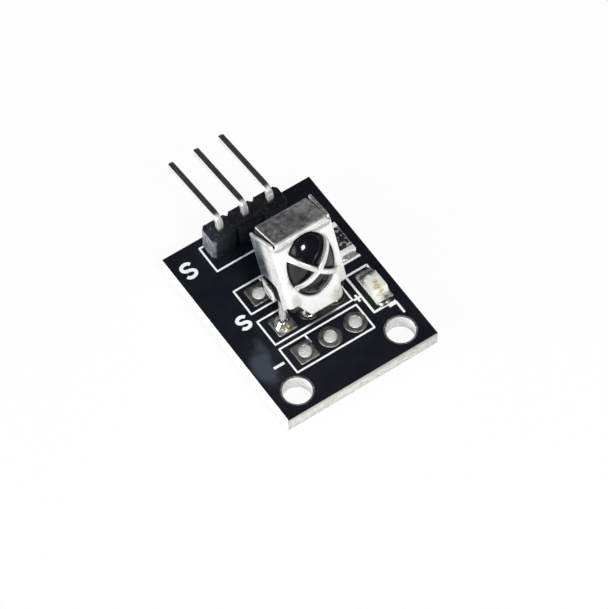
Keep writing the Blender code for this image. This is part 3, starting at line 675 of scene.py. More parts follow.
def header_plastic():
    """The header's moulded plastic: blue-black, scuffed on its top, with a painted pale reflection streaked
    on its left end.
    """
    made = Finish("header_plastic", IOR=1.42)
    tone = made.effect("mottle", Patches=1.6, Grain=9.0, Grain_Share=0.5)
    base = made.blend(tone, (0.0055, 0.0080, 0.0125), (0.0150, 0.0200, 0.0280))
    scuffs = made.effect("specks", Scale=2.6, Above=0.52, Softness=0.22)
    top = made.math("MULTIPLY", made.effect("facing"), 0.55)
    base = made.tint(base, scuffs, top, (0.085, 0.098, 0.120))
    # Painted reflection: the left end face is streaked pale, as if it mirrored a bright surround
    left_end_reflection = made.effect("streaks", Per_Millimetre=(1.0, 3.5, 0.9), Wander=0.6)
    end = made.effect("facing", Direction=LEFT, From=0.25, Full=0.9)
    end = made.math("MULTIPLY", end, made.effect("ramp", Direction=LEFT, From=3.45, Full=3.70))
    base = made.tint(base, left_end_reflection, end, (0.42, 0.45, 0.49))
    skin = made.effect("mottle", Patches=3.0, Grain=16.0, Grain_Share=0.5)
    return made.done(skin, 0.020, Base_Color=base, Roughness=made.spread(tone, 0.40, 0.60))


def drawn_metal(name, dark, bright, towards, bloom, least, foot=0.0):
    """Drawn wire: streaks, tarnish, a left side painted near white as if lit, a milky bloom towards one side
    and a painted dark reflection at the foot.
    """
    made = Finish(name)
    lines = made.effect("streaks", Per_Millimetre=(9.0, 0.9, 1.6), Wander=0.1)
    base = made.blend(lines, dark, bright)
    spots = made.effect("specks", Scale=4.5, Above=0.60, Softness=0.08)
    base = made.tint(base, spots, 0.6, [0.30 * v for v in dark])
    # Painted light: faces turned to the left are made near white, as if lit
    base = made.blend(made.effect("facing", Direction=LEFT), base, (0.99, 0.985, 0.96))
    # Painted dark reflection where the pins come out of the housing
    dark_foot_reflection = made.effect("ramp", Direction=DOWN, From=-foot - 0.15, Full=0.15 - foot)
    dark_foot_reflection = made.math("MULTIPLY", dark_foot_reflection, made.effect("ramp", Direction=UP, From=3.0, Full=3.4))
    base = made.tint(base, dark_foot_reflection, 0.85, (0.03, 0.032, 0.036))
    milky = made.effect("ramp", Direction=towards, From=bloom[0], Full=bloom[1])
    made.feed(Metallic=made.spread(milky, 1.0, least))
    skin = made.effect("mottle", Patches=4.0, Grain=14.0, Grain_Share=0.5)
    return made.done(skin, 0.008, Base_Color=base, Roughness=made.spread(lines, 0.16, 0.30))


def solder(name, dark, bright, metallic=1.0):
    """Solder: bright and wavy, duller where it cooled slowly, turned brown by flux and darkened by painted
    shade under the shield.
    """
    made = Finish(name, Metallic=metallic)
    tone = made.effect("mottle", Patches=2.2, Grain=10.0, Grain_Share=0.3)
    base = made.blend(tone, dark, bright)
    # Flux and painted shade darken the joints under the shield
    browned_and_shaded = (((-0.13, -1.5, 1.9), (1.3, 1.3, 2.0), 0.94), ((2.41, -1.5, 1.9), (1.9, 1.9, 3.0), 0.94))
    base = made.stain(base, (0.085, 0.076, 0.054), 1.0, *browned_and_shaded)
    waves = made.effect("mottle", Patches=2.0, Grain=6.0, Grain_Share=0.3)
    return made.done(waves, 0.020, Base_Color=base, Roughness=made.spread(tone, 0.16, 0.34))


def flux():
    """Flux left on a joint: clear amber with a bubbly skin."""
    made = Finish("flux_amber", IOR=1.52, Transmission_Weight=0.75, Roughness=0.10)
    tone = made.effect("mottle", Patches=4.0, Grain=13.0, Grain_Share=0.4)
    return made.done(tone, 0.020, Base_Color=made.blend(tone, (0.84, 0.58, 0.22), (0.99, 0.90, 0.62)))


def receiver_epoxy():
    """The receiver's epoxy: near black with a violet cast, glossy and faintly rippled, matt on its flanks."""
    made = Finish("receiver_epoxy", IOR=1.50)
    tone = made.effect("mottle", Patches=0.8, Grain=9.0, Grain_Share=0.2)
    base = made.blend(tone, (0.0045, 0.0035, 0.0065), (0.0085, 0.0070, 0.0120))
    base = made.tint(base, made.effect("dust", Scale=6.0, Above=0.72), 0.25, (0.25, 0.25, 0.26))
    flanks = [made.effect("facing", Direction=side, From=0.40, Full=0.70) for side in (LEFT, RIGHT)]
    matt = made.math("MULTIPLY", made.math("MAXIMUM", *flanks), 0.45)
    rough = made.math("ADD", made.spread(tone, 0.07, 0.16), matt)
    ripples = made.effect("mottle", Patches=1.0, Grain=6.0, Grain_Share=0.2)
    return made.done(ripples, 0.0012, Base_Color=base, Roughness=rough)


def shield_front(made, tone):
    """The shield's bright front: painted brown shade near its foot and sides, scratched, painted grey shade
    along the window and the bars.
    """
    base = made.blend(tone, (0.88, 0.88, 0.86), (1.0, 0.99, 0.96))
    # Painted brown shade on the plate, near its foot and at its sides
    shade_patches = (
        ((2.2, -3.25, 4.4), (1.5, 0.9, 1.5), 0.80),
        ((2.55, -2.70, 6.0), (0.75, 1.0, 1.9), 0.50),
        ((-2.0, -2.66, 5.8), (0.6, 0.7, 1.5), 0.60),
    )
    base = made.stain(base, (0.50, 0.47, 0.40), 0.8, *shade_patches)
    scratches = made.effect("streaks", Per_Millimetre=(14.0, 2.0, 0.9), Wander=0.4)
    base = made.tint(base, made.between(scratches, 0.72, 0.95), 0.12, (0.50, 0.50, 0.50))
    # Painted shade along the bars' edges and the window's rim
    edges = made.add("ShaderNodeAttribute", attribute_name="edge_shade").outputs["Fac"]
    return made.tint(base, edges, 0.75, (0.34, 0.34, 0.33))


def shield_crease(made, tone, base):
    """The tan shadow of the crease under the flap's bend, from its lower to its upper side."""
    place = 0.904 + CREASE_HEIGHT / MM
    lower = made.effect("ramp", Direction=CAN_UP, From=place - 0.26, Full=place - 0.02)
    upper = made.effect("ramp", Direction=CAN_UP, From=place + 0.22, Full=place + 0.02)
    crease = made.math("MULTIPLY", lower, upper)
    return made.tint(base, crease, made.spread(tone, 0.45, 0.75), (0.40, 0.385, 0.36))


def shield_flap(made, clouds):
    """The flap's mask, and its clouded tin, darkened partly by painted dark reflection, with a darker patch
    at its rear.
    """
    flap = made.effect("facing", Direction=CAN_UP, From=0.80, Full=0.97)
    flap = made.math("MULTIPLY", flap, made.effect("ramp", Direction=CAN_UP, From=9.2, Full=9.6))
    # Painted highlight: a thin strip at the flap's left edge is left bright, for its lit cut edge
    flap = made.math("MULTIPLY", flap, made.effect("ramp", Direction=RIGHT, From=-2.50, Full=-2.32))
    grain = made.effect("mottle", Patches=3.0, Grain=9.0, Grain_Share=0.4)
    cloudy = made.math("ADD", made.math("MULTIPLY", clouds, 0.85), made.math("MULTIPLY", grain, 0.15))
    # The dark clouds are partly painted dark reflection and partly dull tin
    dull = made.blend(made.between(cloudy, 0.15, 0.95), (0.09, 0.09, 0.088), (0.72, 0.73, 0.74))
    dark_rear_patch = ((0.3, 1.3, 11.1), (2.0, 1.6, 1.6), 0.6)
    return flap, made.stain(dull, (0.08, 0.079, 0.075), 1.0, dark_rear_patch)


def tinplate():
    """The shield's tinned sheet: bright in front, a painted dark bluish reflection behind, painted slit shade
    as dark lines on its bowed strip, and its flap darkened partly by painted dark reflection.
    """
    made = Finish("tinplate")
    tone = made.effect("mottle", Patches=1.1, Grain=4.5, Grain_Share=0.35)
    base = shield_front(made, tone)
    front = made.effect("ramp", Direction=CAN_OUT, From=1.9, Full=3.2)
    front = made.math("MAXIMUM", front, made.effect("ramp", Direction=CAN_UP, From=9.7, Full=10.5))
    strip = made.effect("ramp", Direction=LEFT, From=2.86, Full=3.05)
    lines = made.effect("streaks", Per_Millimetre=(4.5, 0.5, 3.0), Wander=0.2)
    # Painted shade: dark lines on the bowed strip stand for the shade in its slits
    base = made.tint(base, strip, made.between(lines, 0.52, 0.68), (0.10, 0.12, 0.15))
    front = made.math("MAXIMUM", front, strip)
    # Painted dark reflection: the walls behind are clouded dark and bluish
    clouds = made.effect("mottle", Patches=0.7, Grain=2.4, Grain_Share=0.45)
    base = made.blend(front, made.blend(clouds, (0.16, 0.20, 0.26), (0.66, 0.73, 0.82)), base)
    base = shield_crease(made, tone, base)
    flap, dull = shield_flap(made, clouds)
    base = made.blend(flap, base, dull)
    side = made.effect("facing", Direction=LEFT, From=0.6, Full=0.9)
    side = made.math("MULTIPLY", made.math("MULTIPLY", side, front), 0.42)
    made.feed(Metallic=made.math("SUBTRACT", made.spread(front, 0.94, 0.60), side))
    rough = made.math("ADD", made.spread(tone, 0.24, 0.36), made.math("MULTIPLY", flap, 0.16))
    waves = made.effect("mottle", Patches=1.1, Grain=3.0, Grain_Share=0.3)
    return made.done(waves, 0.004, Base_Color=base, Roughness=rough)


def end_metal(name, stained, dark, metallic):
    """Plated chip ends: tin, bright or stained, with a painted white highlight on the indicator's front end.
    """
    made = Finish(name)
    tone = made.effect("mottle", Patches=2.5, Grain=12.0, Grain_Share=0.5)
    base = made.blend(tone, (dark, dark, 0.98 * dark), (0.97, 0.97, 0.96))
    stains = made.effect("specks", Scale=1.6, Above=0.50, Softness=0.14)
    base = made.tint(base, stains, stained, (0.12, 0.115, 0.10))
    # Painted highlight: a white, less metallic patch on the indicator's front end
    lit_white = made.effect("patch", Centre=(5.10, -4.25, 2.3), Reach=(0.80, 0.62, 0.9), Ragged=0.8)
    base = made.blend(lit_white, base, (0.98, 0.98, 0.96))
    made.feed(Metallic=made.spread(lit_white, metallic, 0.2))
    return made.done(tone, 0.020, Base_Color=base, Roughness=made.spread(tone, 0.22, 0.42))


def mottled(name, dark, bright, tone, rough, depth, **fixed):
    """A simple finish: two colours that change over mottling, which also sets the gloss and the bump."""
    made = Finish(name, **fixed)
    mask = made.effect("mottle", **tone)
    base = made.blend(mask, dark, bright)
    return made.done(mask, depth, Base_Color=base, Roughness=made.spread(mask, *rough))


def indicator_base():
    """The indicator's little board: a cream white weave with a green cast in places."""
    tone = {"Patches": 2.2, "Grain": 12.0, "Grain_Share": 0.4}
    pale = (0.98, 0.98, 0.90)
    return mottled("indicator_base", (0.80, 0.86, 0.70), pale, tone, (0.45, 0.65), 0.010, IOR=1.50)


def gold_plate():
    """The gold bits under the indicator's lens, with the amber paste that holds the die."""
    tone = {"Patches": 4.0, "Grain": 14.0, "Grain_Share": 0.5}
    bright = (0.92, 0.70, 0.34)
    return mottled("indicator_gold", (0.62, 0.34, 0.10), bright, tone, (0.25, 0.45), 0.012, Metallic=0.5)


def die():
    """The die: a small amber crystal."""
    tone = {"Patches": 7.0, "Grain": 20.0, "Grain_Share": 0.4}
    return mottled("indicator_die", (0.46, 0.26, 0.08), (0.80, 0.56, 0.26), tone, (0.2, 0.4), 0.006, IOR=1.9)


def clear_epoxy():
    """The indicator's lens: milky with a green cast, amber over the die and its paste, darker at the rear."""
    made = Finish("clear_epoxy", IOR=1.42, Transmission_Weight=0.10)
    tone = made.effect("mottle", Patches=2.4, Grain=9.0, Grain_Share=0.5)
    base = made.blend(tone, (0.90, 0.96, 0.80), (1.0, 1.0, 0.98))
    grains = made.spread(made.effect("specks", Scale=6.0, Above=0.42, Softness=0.12), 0.45, 1.0)
    ambers = (((5.70, -2.92, 2.3), (0.36, 0.30, 2.0), 0.95), ((5.55, -3.60, 2.3), (0.55, 0.55, 2.0), 0.85))
    for centre, reach, share in ambers:
        amber = made.effect("patch", Centre=centre, Reach=reach, Ragged=2.2)
        base = made.tint(base, made.math("MULTIPLY", amber, grains), share, (0.50, 0.33, 0.09))
    specks = made.effect("specks", Scale=2.4, Above=0.42, Softness=0.12)
    rear = made.math("MULTIPLY", made.effect("ramp", From=-2.60, Full=-2.05), specks)
    base = made.tint(base, rear, 0.9, (0.07, 0.07, 0.06))
    return made.done(tone, 0.012, Base_Color=base, Roughness=made.spread(tone, 0.10, 0.25))


def resistor_glaze():
    """The resistor's glazed top: near black with a few grey specks."""
    made = Finish("resistor_glaze", IOR=1.50)
    tone = made.effect("mottle", Patches=1.8, Grain=9.0, Grain_Share=0.5)
    base = made.blend(tone, (0.006, 0.006, 0.008), (0.034, 0.034, 0.038))
    specks = made.effect("specks", Scale=3.2, Above=0.53, Softness=0.07)
    base = made.tint(base, specks, 0.75, (0.42, 0.43, 0.45))
    return made.done(tone, 0.014, Base_Color=base, Roughness=made.spread(tone, 0.18, 0.36))


def ceramic():
    """The resistor's ceramic: off-white and sandy."""
    tone = {"Patches": 2.5, "Grain": 16.0, "Grain_Share": 0.6}
    pale = (0.78, 0.78, 0.75)
    return mottled("resistor_ceramic", (0.55, 0.55, 0.52), pale, tone, (0.6, 0.85), 0.012, IOR=1.6)


def finish_piece(thing, look, nodes):
    """Give a piece its material, hang it under the root body and hide the CAD nodes that it stands for."""
    thing.data.materials.clear()
    thing.data.materials.append(look)
    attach(thing, "root")
    if nodes:
        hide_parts(*nodes)
    return thing


def eased_piece(node, name, look, width, segments=2, angle=28.0):
    """A CAD node as a finished piece with its corners rounded."""
    finish_piece(eased(frame_copy(node, name), width, segments, angle), look, [node])


# The board


def nearest_screw_hole(place):
    """The screw hole whose rim a point is on, if any."""
    for hole in SCREW_HOLES:
        if abs((Vector(place[:2]) - hole).length - SCREW_HOLE_RADIUS) < 0.02 * MM:
            return hole
    return None


def mask_skin(low):
    """One face's solder mask from a height up, short of the sawn edges and the screw holes."""
    skin = frame_copy("circuit_board", "mask_skin")
    for vertex in skin.data.vertices:
        vertex.co.z = low + (MASK_THICKNESS if vertex.co.z > BOARD_TOP / 2 else 0.0)
        for axis in (0, 1):
            if abs(abs(vertex.co[axis]) - BOARD_HALF[axis]) < 0.01 * MM:
                vertex.co[axis] -= math.copysign(MASK_SETBACK, vertex.co[axis])
        hole = nearest_screw_hole(vertex.co)
        if hole is not None:
            out = Vector(vertex.co[:2]) - hole
            vertex.co.x += out.normalized().x * SCREW_HOLE_MARGIN
            vertex.co.y += out.normalized().y * SCREW_HOLE_MARGIN
    return skin


def make_board():
    """The laminate core and its solder mask."""
    core = frame_copy("circuit_board", "laminate_core")
    for vertex in core.data.vertices:
        vertex.co.z = min(max(vertex.co.z, MASK_THICKNESS), BOARD_TOP - MASK_THICKNESS)
    finish_piece(eased(core, 0.02 * MM, 1, 60.0), bare_laminate(), ["circuit_board"])
    mask = joined("solder_mask", [mask_skin(low) for low in (0.0, BOARD_TOP - MASK_THICKNESS)])
    finish_piece(shade(mask, 40.0), solder_mask(), ["circuit_board"])


INK_BOXES_MM = [
    ((-4.32, -6.10), (3.45, -6.10), (3.45, -3.40), (-4.32, -3.40), (-4.32, -6.10)),
    ((-4.33, -2.86), (3.45, -2.86), (3.45, -0.15), (-4.33, -0.15), (-4.33, -2.86)),
    ((-4.30, 0.75), (3.45, 0.75), (3.45, 3.45), (-4.30, 3.45), (-4.30, 0.75)),
    ((-4.30, 5.90), (3.50, 5.90), (3.50, 8.64), (-4.30, 8.64), (-4.30, 5.90)),
    ((-1.77, -3.40), (-1.77, -4.35)),
    ((-1.77, -0.15), (-1.77, -0.80)),
    ((-1.77, 3.45), (-1.77, 2.40)),
    ((-1.77, 8.64), (-1.77, 7.60)),
]
INK_LINES_MM = [
    ((6.42, -1.15), (6.42, -0.65), (4.27, -0.65), (4.27, -4.88), (6.42, -4.88)),
    ((6.37, -5.00), (6.37, -6.30)),
    ((4.78, 4.55), (4.78, 0.48), (6.56, 0.48)),
]
INK_MINUS_MM = [((-5.73, -4.70), (-4.69, -4.70))]
INK_PLUS_MM = [((3.52, -2.95), (4.28, -2.95)), ((3.90, -3.33), (3.90, -2.57))]
INK_BAR_MM = [((5.62, -5.05), (6.40, -5.05))]


def oval_arc(x, y, half_width, half_height, start, sweep):
    """Points on part of an oval, its angles in degrees."""
    steps = 12
    turns = [math.radians(start + sweep * step / steps) for step in range(steps + 1)]
    return [(x + half_width * math.cos(turn), y + half_height * math.sin(turn)) for turn in turns]


def letter_s(x, y, width, height):
    """The line of a plain S for the signal pin, as points."""
    upper = oval_arc(x, y + height / 4, width / 2, height / 4, 20.0, 250.0)
    lower = oval_arc(x, y - height / 4, width / 2, height / 4, 90.0, -250.0)
    return tuple(upper + lower[1:])


def ink_ribbons():
    """Turns drawn lines into raised ribbons of ink with slightly rough edges."""
    sizes = {"Width": 0.2 * MM, "Thickness": 0.03 * MM, "Step": 0.05 * MM, "Roughness": 0.02 * MM}
    made = Growth("ink_ribbon", **sizes, Ink="NodeSocketMaterial")
    given = made.given
    line = made.add("GeometryNodeMeshToCurve", {0: given["Geometry"]})
    spaced = made.add("GeometryNodeResampleCurve", {"Curve": line, "Length": given["Step"]}, mode="LENGTH")
    cloud = made.add("ShaderNodeTexNoise", {"Scale": 4.0 / MM}).outputs["Color"]
    centred = made.vector("SUBTRACT", cloud, (0.5, 0.5, 0.5))
    offset = made.vector("SCALE", centred, given["Roughness"])
    shaken = made.add("GeometryNodeSetPosition", {"Geometry": spaced, "Offset": offset})
    size = {"Width": given["Width"], "Height": given["Thickness"]}
    section = made.add("GeometryNodeCurvePrimitiveQuadrilateral", size)
    run = {"Curve": shaken, "Profile Curve": section, "Fill Caps": True}
    return made.close(made.add("GeometryNodeCurveToMesh", run), given["Ink"])


def drawn_lines(lines_mm):
    """Lines on the board's top as points and edges, closed where a line ends at its start."""
    height = BOARD_TOP + 0.008 * MM
    places = []
    edges = []
    for line in lines_mm:
        closed = line[0] == line[-1]
        points = line[:-1] if closed else line
        first = len(places)
        places += [(x * MM, y * MM, height) for x, y in points]
        edges += [(first + k, first + k + 1) for k in range(len(points) - 1)]
        if closed:
            edges.append((first + len(points) - 1, first))
    return places, edges


def make_marks():
    """The printed boxes, the S, plus and minus signs and the small marks beside the indicator."""
    ink = white_ink()
    printer = ink_ribbons()
    letters = [letter_s(-6.25, 7.30, 0.96, 1.42), letter_s(-5.30, 0.42, 0.86, 1.22)]
    widths_mm = (
        (INK_BOXES_MM, 0.165),
        (INK_LINES_MM, 0.205),
        (letters, 0.32),
        (INK_MINUS_MM, 0.24),
        (INK_PLUS_MM, 0.21),
        (INK_BAR_MM, 0.36),
    )
    ribbons = []
    for lines, width in widths_mm:
        ribbons.append(printer.grown("ink", *drawn_lines(lines), Width=width * MM, Ink=ink))
    marks = joined("printed_marks", ribbons, turn_out=True)
    finish_piece(shade(marks, 40.0), ink, [])


def square_reach(turn, half, corner):
    """How far a rounded square reaches from its middle in a direction."""
    across = abs(math.cos(turn))
    up = abs(math.sin(turn))
    inner = half - corner
    if across * inner > up * half:
        return half / across
    if up * inner > across * half:
        return half / up
    along = inner * (across + up)
    return along + math.sqrt(max(along * along - 2 * inner * inner + corner * corner, 0.0))


def pad_shape(square):
    """A plated hole about the origin: a barrel with a rounded tin lip and a pad on each face."""
    top = BOARD_TOP + PAD_THICKNESS
    rim = BOARD_TOP + 0.01 * MM
    lip = HOLE_RADIUS + 0.10 * MM
    barrel = HOLE_RADIUS + 0.06 * MM
    half = [
        (HOLE_RADIUS, BOARD_TOP - 0.05 * MM),
        (HOLE_RADIUS + 0.02 * MM, BOARD_TOP + 0.02 * MM),
        (HOLE_RADIUS + 0.06 * MM, top - 0.005 * MM),
        (lip + 0.06 * MM, top + 0.005 * MM),
        (PAD_RADIUS - 0.16 * MM, top),
        (PAD_RADIUS - 0.05 * MM, top - 0.015 * MM),
        (PAD_RADIUS - 0.01 * MM, rim + 0.015 * MM),
        (PAD_RADIUS, rim - 0.005 * MM),
        (barrel, rim - 0.005 * MM),
    ]
    under = [(radius, BOARD_TOP - height) for radius, height in reversed(half)]

    def squared(turn, radius, height):
        share = (radius - barrel) / (PAD_RADIUS - barrel)
        if square and share > 0.0:
            radius = barrel + (square_reach(turn, SQUARE_PAD_HALF, SQUARE_PAD_CORNER) - barrel) * share
        return radius, height

    return turned("hole_sample", half + under + half[:1], 0.0, 0.0, 72, squared)


def hole_setter():
    """Sets a plated hole on each point, turned by a random amount up to a limit."""
    made = Growth("plated_holes", Hole="NodeSocketObject", Most_Turn=0.0, Tin="NodeSocketMaterial")
    points = made.add("GeometryNodeMeshToPoints", {0: made.given["Geometry"]})
    hole = made.add("GeometryNodeObjectInfo", {"Object": made.given["Hole"]}).outputs["Geometry"]
    # A random number's upper limit is input 3 and the number itself output 1
    chance = made.add("FunctionNodeRandomValue", {"Seed": 7, 3: made.given["Most Turn"]}).outputs[1]
    turn = made.add("ShaderNodeCombineXYZ", {"Z": chance})
    sets = {"Points": points, "Instance": hole, "Rotation": turn}
    return made.close(made.add("GeometryNodeInstanceOnPoints", sets), made.given["Tin"])


def make_plated_holes():
    """The twelve plated holes in four rows. The first pad of each row is square."""
    tin = pad_tin()
    setter = hole_setter()
    rows = (("front", FRONT_Y), ("receiver", RECEIVER_Y), ("spare", SPARE_Y), ("header", HEADER_Y))
    made = []
    for square, columns, most_turn in ((True, ROW_X[:1], 0.0), (False, ROW_X[1:], math.pi)):
        sample = pad_shape(square)
        places = [(x, y, 0.0) for _, y in rows for x in columns]
        made.append(setter.grown("plated_holes", places, [], Hole=sample, Most_Turn=most_turn, Tin=tin))
        bpy.data.objects.remove(sample, do_unlink=True)
    nodes = [f"{row}_eyelet_{number}" for row, _ in rows for number in (1, 2, 3)]
    finish_piece(shade(joined("plated_holes", made), 50.0), tin, nodes)


# The header


def pin_path(x):
    """A pin's middle line: up through the board and housing, then bent over to the rear."""
    centre = Vector((x, HEADER_Y + PIN_BEND_RADIUS, PIN_BEND_START))
    slope = math.pi / 2 - PIN_BEND_ANGLE
    along = Vector((0.0, math.cos(slope), math.sin(slope)))
    bend = []
    for step in range(PIN_BEND_STEPS + 1):
        turn = math.pi - PIN_BEND_ANGLE * step / PIN_BEND_STEPS
        bend.append(centre + Vector((0.0, math.cos(turn), math.sin(turn))) * PIN_BEND_RADIUS)
    run = (HEADER_Y + PIN_REACH - bend[-1].y) / along.y
    foot = [Vector((x, HEADER_Y, z)) for z in PIN_FOOT]
    return foot + bend + [bend[-1] + along * (run - short) for short in PIN_TIP]


def make_header():
    """The moulded strip and its three bent pins."""
    eased_piece("header_housing", "header_strip", header_plastic(), 0.02 * MM, 1, 25.0)
    dark = (0.60, 0.59, 0.53)
    metal = drawn_metal("pin_metal", dark, (0.97, 0.96, 0.90), FRONT, (-8.55, -8.15), 0.42, foot=4.55)
    section = rounded_square(PIN_SIDE, PIN_SIDE, WIRE_CORNER)
    for number, x in enumerate(ROW_X, 1):
        path = pin_path(x)
        shares = [0.62, 0.80, 1.0] + [1.0] * (len(path) - 6) + [1.0, 0.85, 0.62]
        pin = swept(f"bent_pin_{number}", path, section, shares)
        finish_piece(pin, metal, [f"header_pin_{number}"])


# The solder joints


def joint_half(level, height, foot):
    """One half of a joint's profile, from its tip on the wire out to its foot on a pad."""
    tip = [(0.0, level + height), (0.6 * JOINT_NECK, level + height), (JOINT_NECK, level + 0.93 * height)]
    rise = [(s, level + height * (1 - s) ** JOINT_HOLLOW) for s in JOINT_STEPS]
    return tip + [(JOINT_NECK + (foot - JOINT_NECK) * s, z) for s, z in rise]


def joint(name, x, y, above, spread, seed):
    """A solder joint that fills its hole and climbs the wire, with an uneven skin."""
    upper = joint_half(BOARD_TOP + JOINT_LIFT, above, spread)
    lower = joint_half(-JOINT_LIFT, -JOINT_BELOW, JOINT_FOOT_BELOW)
    inside = [(HOLE_RADIUS, BOARD_TOP - 0.02 * MM), (HOLE_RADIUS, 0.02 * MM)]

    def wobble(turn, radius, height):
        place = (radius * math.cos(turn), radius * math.sin(turn), height)
        if radius <= 0.0 or abs(height - BOARD_TOP / 2) < BOARD_TOP / 2 - 0.01 * MM:
            return radius, height
        return radius + uneven(place, JOINT_WAVE, JOINT_ROUGHNESS, seed) * radius / spread, height

    return turned(name, upper + inside + lower[::-1], x, y, 48, wobble)


def puddle(name, middle, reach, height, seed):
    """A low uneven drop lying on the board."""
    steps = 8
    turns = [math.pi / 2 * step / steps for step in range(steps + 1)]
    profile = [(reach * math.sin(turn), middle[2] + height * math.cos(turn) ** 1.3) for turn in turns]
    profile.append((0.0, middle[2] - 0.01 * MM))

    def wobble(turn, radius, lift):
        round_place = Vector((math.cos(turn), math.sin(turn), 0.4 * radius / reach))
        share = 1.0 + 0.55 * noise.noise(round_place * 1.3 + Vector((seed, 0.0, seed)))
        flat_place = Vector((radius * math.cos(turn), radius * math.sin(turn), seed * MM))
        rise = 1.0 + 0.5 * noise.noise(flat_place / (0.22 * MM))
        return radius * share, middle[2] + (lift - middle[2]) * rise

    return turned(name, profile, middle[0], middle[1], 48, wobble)


def make_joints(metal):
    """The joints of the header and the receiver, and the amber flux left round the signal lead."""
    for number, (x, above) in enumerate(zip(ROW_X, (0.62, 0.50, 0.45)), 1):
        header = joint(f"header_joint_{number}", x, HEADER_Y, 0.02 * MM, 0.60 * MM, 3.1 * number)
        finish_piece(header, metal, [f"header_solder_{number}"])
        receiver = joint(f"receiver_joint_{number}", x, RECEIVER_Y, above * MM, 0.93 * MM, 5.3 * number)
        finish_piece(receiver, metal, [f"receiver_solder_{number}"])
    drops_mm = (
        (-0.30, -0.56, 0.14, 0.22, 0.20, 1.7),
        (0.10, -0.42, 0.20, 0.26, 0.24, 4.2),
        (0.40, -0.16, 0.16, 0.18, 0.20, 8.9),
        (0.02, -0.80, 0.06, 0.20, 0.14, 6.1),
        (-0.50, -0.66, 0.05, 0.14, 0.10, 2.6),
    )
    drops = []
    for x, y, z, reach, height, seed in drops_mm:
        middle = (ROW_X[0] + x * MM, RECEIVER_Y + y * MM, BOARD_TOP + z * MM)
        drops.append(puddle("drop", middle, reach * MM, height * MM, seed))
    finish_piece(shade(joined("flux_residue", drops), 60.0), flux(), [])


# The receiver


def make_leads():
    """The receiver's three leads, straight in the board and bent back into the body."""
    metal = drawn_metal("lead_metal", (0.36, 0.38, 0.41), (0.97, 0.98, 0.99), DOWN, (-5.5, -3.5), 0.66)
    section = rounded_square(LEAD_WIDTH, LEAD_WIDTH, WIRE_CORNER)
    for number, x in enumerate(ROW_X, 1):
        offset = (number - 2) * LEAD_SPACING_IN_BODY
        points = [Vector((x, RECEIVER_Y, -TAIL)), Vector((x, RECEIVER_Y, BOARD_TOP + 0.39 * MM))]
        points += [LEANED @ Vector((offset, 0.0, z * MM)) for z in (2.07, 2.90)]
        lead = swept(f"lead_{number}", eased_path(points, LEAD_BEND), section)
        finish_piece(lead, metal, [f"receiver_lead_{number}"])


def make_receiver():
    """The moulded body with its domed lens."""
    low = (-BODY_HALF_WIDTH, BODY_FRONT, BODY_BOTTOM)
    body = block("receiver", low, (BODY_HALF_WIDTH, BODY_BACK, BODY_TOP))
    edge = body.modifiers.new("moulded corners", "BEVEL")
    edge.width = BODY_CORNER
    edge.segments = 5
    body = plain(body)
    ball = bmesh.new()
    bmesh.ops.create_uvsphere(ball, u_segments=96, v_segments=48, radius=1.0)
    middle = Matrix.Translation((0.0, BODY_FRONT + 0.02 * MM, WINDOW_MIDDLE))
    combine(body, from_bmesh("lens", ball, middle @ Matrix.Diagonal(LENS_REACH)), "UNION")
    body.data.transform(LEANED)
    finish_piece(shade(body, 35.0), receiver_epoxy(), ["receiver_body"])


# The shield


def cross_bar(low, high):
    """One bar of the cross from its lower to its upper root: a bowed strip that widens into the plate."""
    path = []
    sections = []
    normals = []
    for step in range(-ROOT_RINGS, BAR_STEPS + ROOT_RINGS + 1):
        share = min(max(step / BAR_STEPS, 0.0), 1.0)
        x, z = (a + (b - a) * share for a, b in zip(low, high))
        far = math.hypot(x / (WINDOW_HALF_WIDTH + CROSS_MARGIN), z / (WINDOW_HALF_HEIGHT + CROSS_MARGIN))
        rise = CROSS_HEIGHT * max(1.0 - far**CROSS_ROUNDNESS, 0.0) ** (1 / CROSS_ROUNDNESS)
        beyond = (step - share * BAR_STEPS) * ROOT_RING_STEP
        x += (high[0] - low[0]) * beyond
        z += (high[1] - low[1]) * beyond
        path.append(Vector((x, CAN_FRONT + SHEET / 2 - rise, WINDOW_MIDDLE + z)))
        rooted = math.exp(-((min(share, 1.0 - share) * BAR_LENGTH / ROOT_REACH) ** 2))
        width = BAR_WIDTH * (1.0 + ROOT_WIDER * rooted)
        sections.append(rounded_square(width, BAR_THICKNESS * (1.0 - ROOT_THINNER * rooted), BAR_CORNER))
        out = Vector((x / WINDOW_HALF_WIDTH**2, -1.0 / CROSS_HEIGHT, z / WINDOW_HALF_HEIGHT**2)).normalized()
        normals.append(out.lerp(Vector(FRONT), rooted).normalized())
    body = bmesh.new()
    rings = []
    for k, point in enumerate(path):
        ahead = heading(path, k)
        across = normals[k].cross(ahead).normalized()
        over = ahead.cross(across)
        rings.append([body.verts.new(point + across * a + over * b) for a, b in sections[k]])
    capped(body, rings)
    return from_bmesh("bar", body)


def edge_of_bar(place):
    """How near a place in front view is to the edge of one of the cross's bars, from 0 to 1."""
    across = math.inf
    for low, high in CROSS_BARS:
        along = (high - low).normalized()
        reach = place - low
        share = reach.dot(along) / (high - low).length
        if -0.02 < share < 1.02:
            across = min(across, abs(along.x * reach.y - along.y * reach.x) / (BAR_WIDTH / 2))
    if across > OFF_THE_BARS:
        return 0.0
    return min(max((across - BAR_SHADE_FROM) / BAR_SHADE_RUN, 0.0), 1.0)


def mark_edges(thing):
    """Mark how near each point is to a bar's edge or to the window's rim, for the finish to shade."""
    shades = thing.data.attributes.new("edge_shade", "FLOAT", "POINT").data
    for vertex, edge in zip(thing.data.vertices, shades):
        x, y, z = vertex.co
        place = Vector((x, z - WINDOW_MIDDLE))
        far = math.hypot(place.x / WINDOW_HALF_WIDTH, place.y / WINDOW_HALF_HEIGHT)
        if y > CAN_FRONT + SHEET or far > RIM_LIMIT:
            continue
        rim = max(1.0 - abs(far - 1.0) / RIM_SHADE, 0.0)
        edge.value = max(edge_of_bar(place) if far < 1.0 else 0.0, rim)


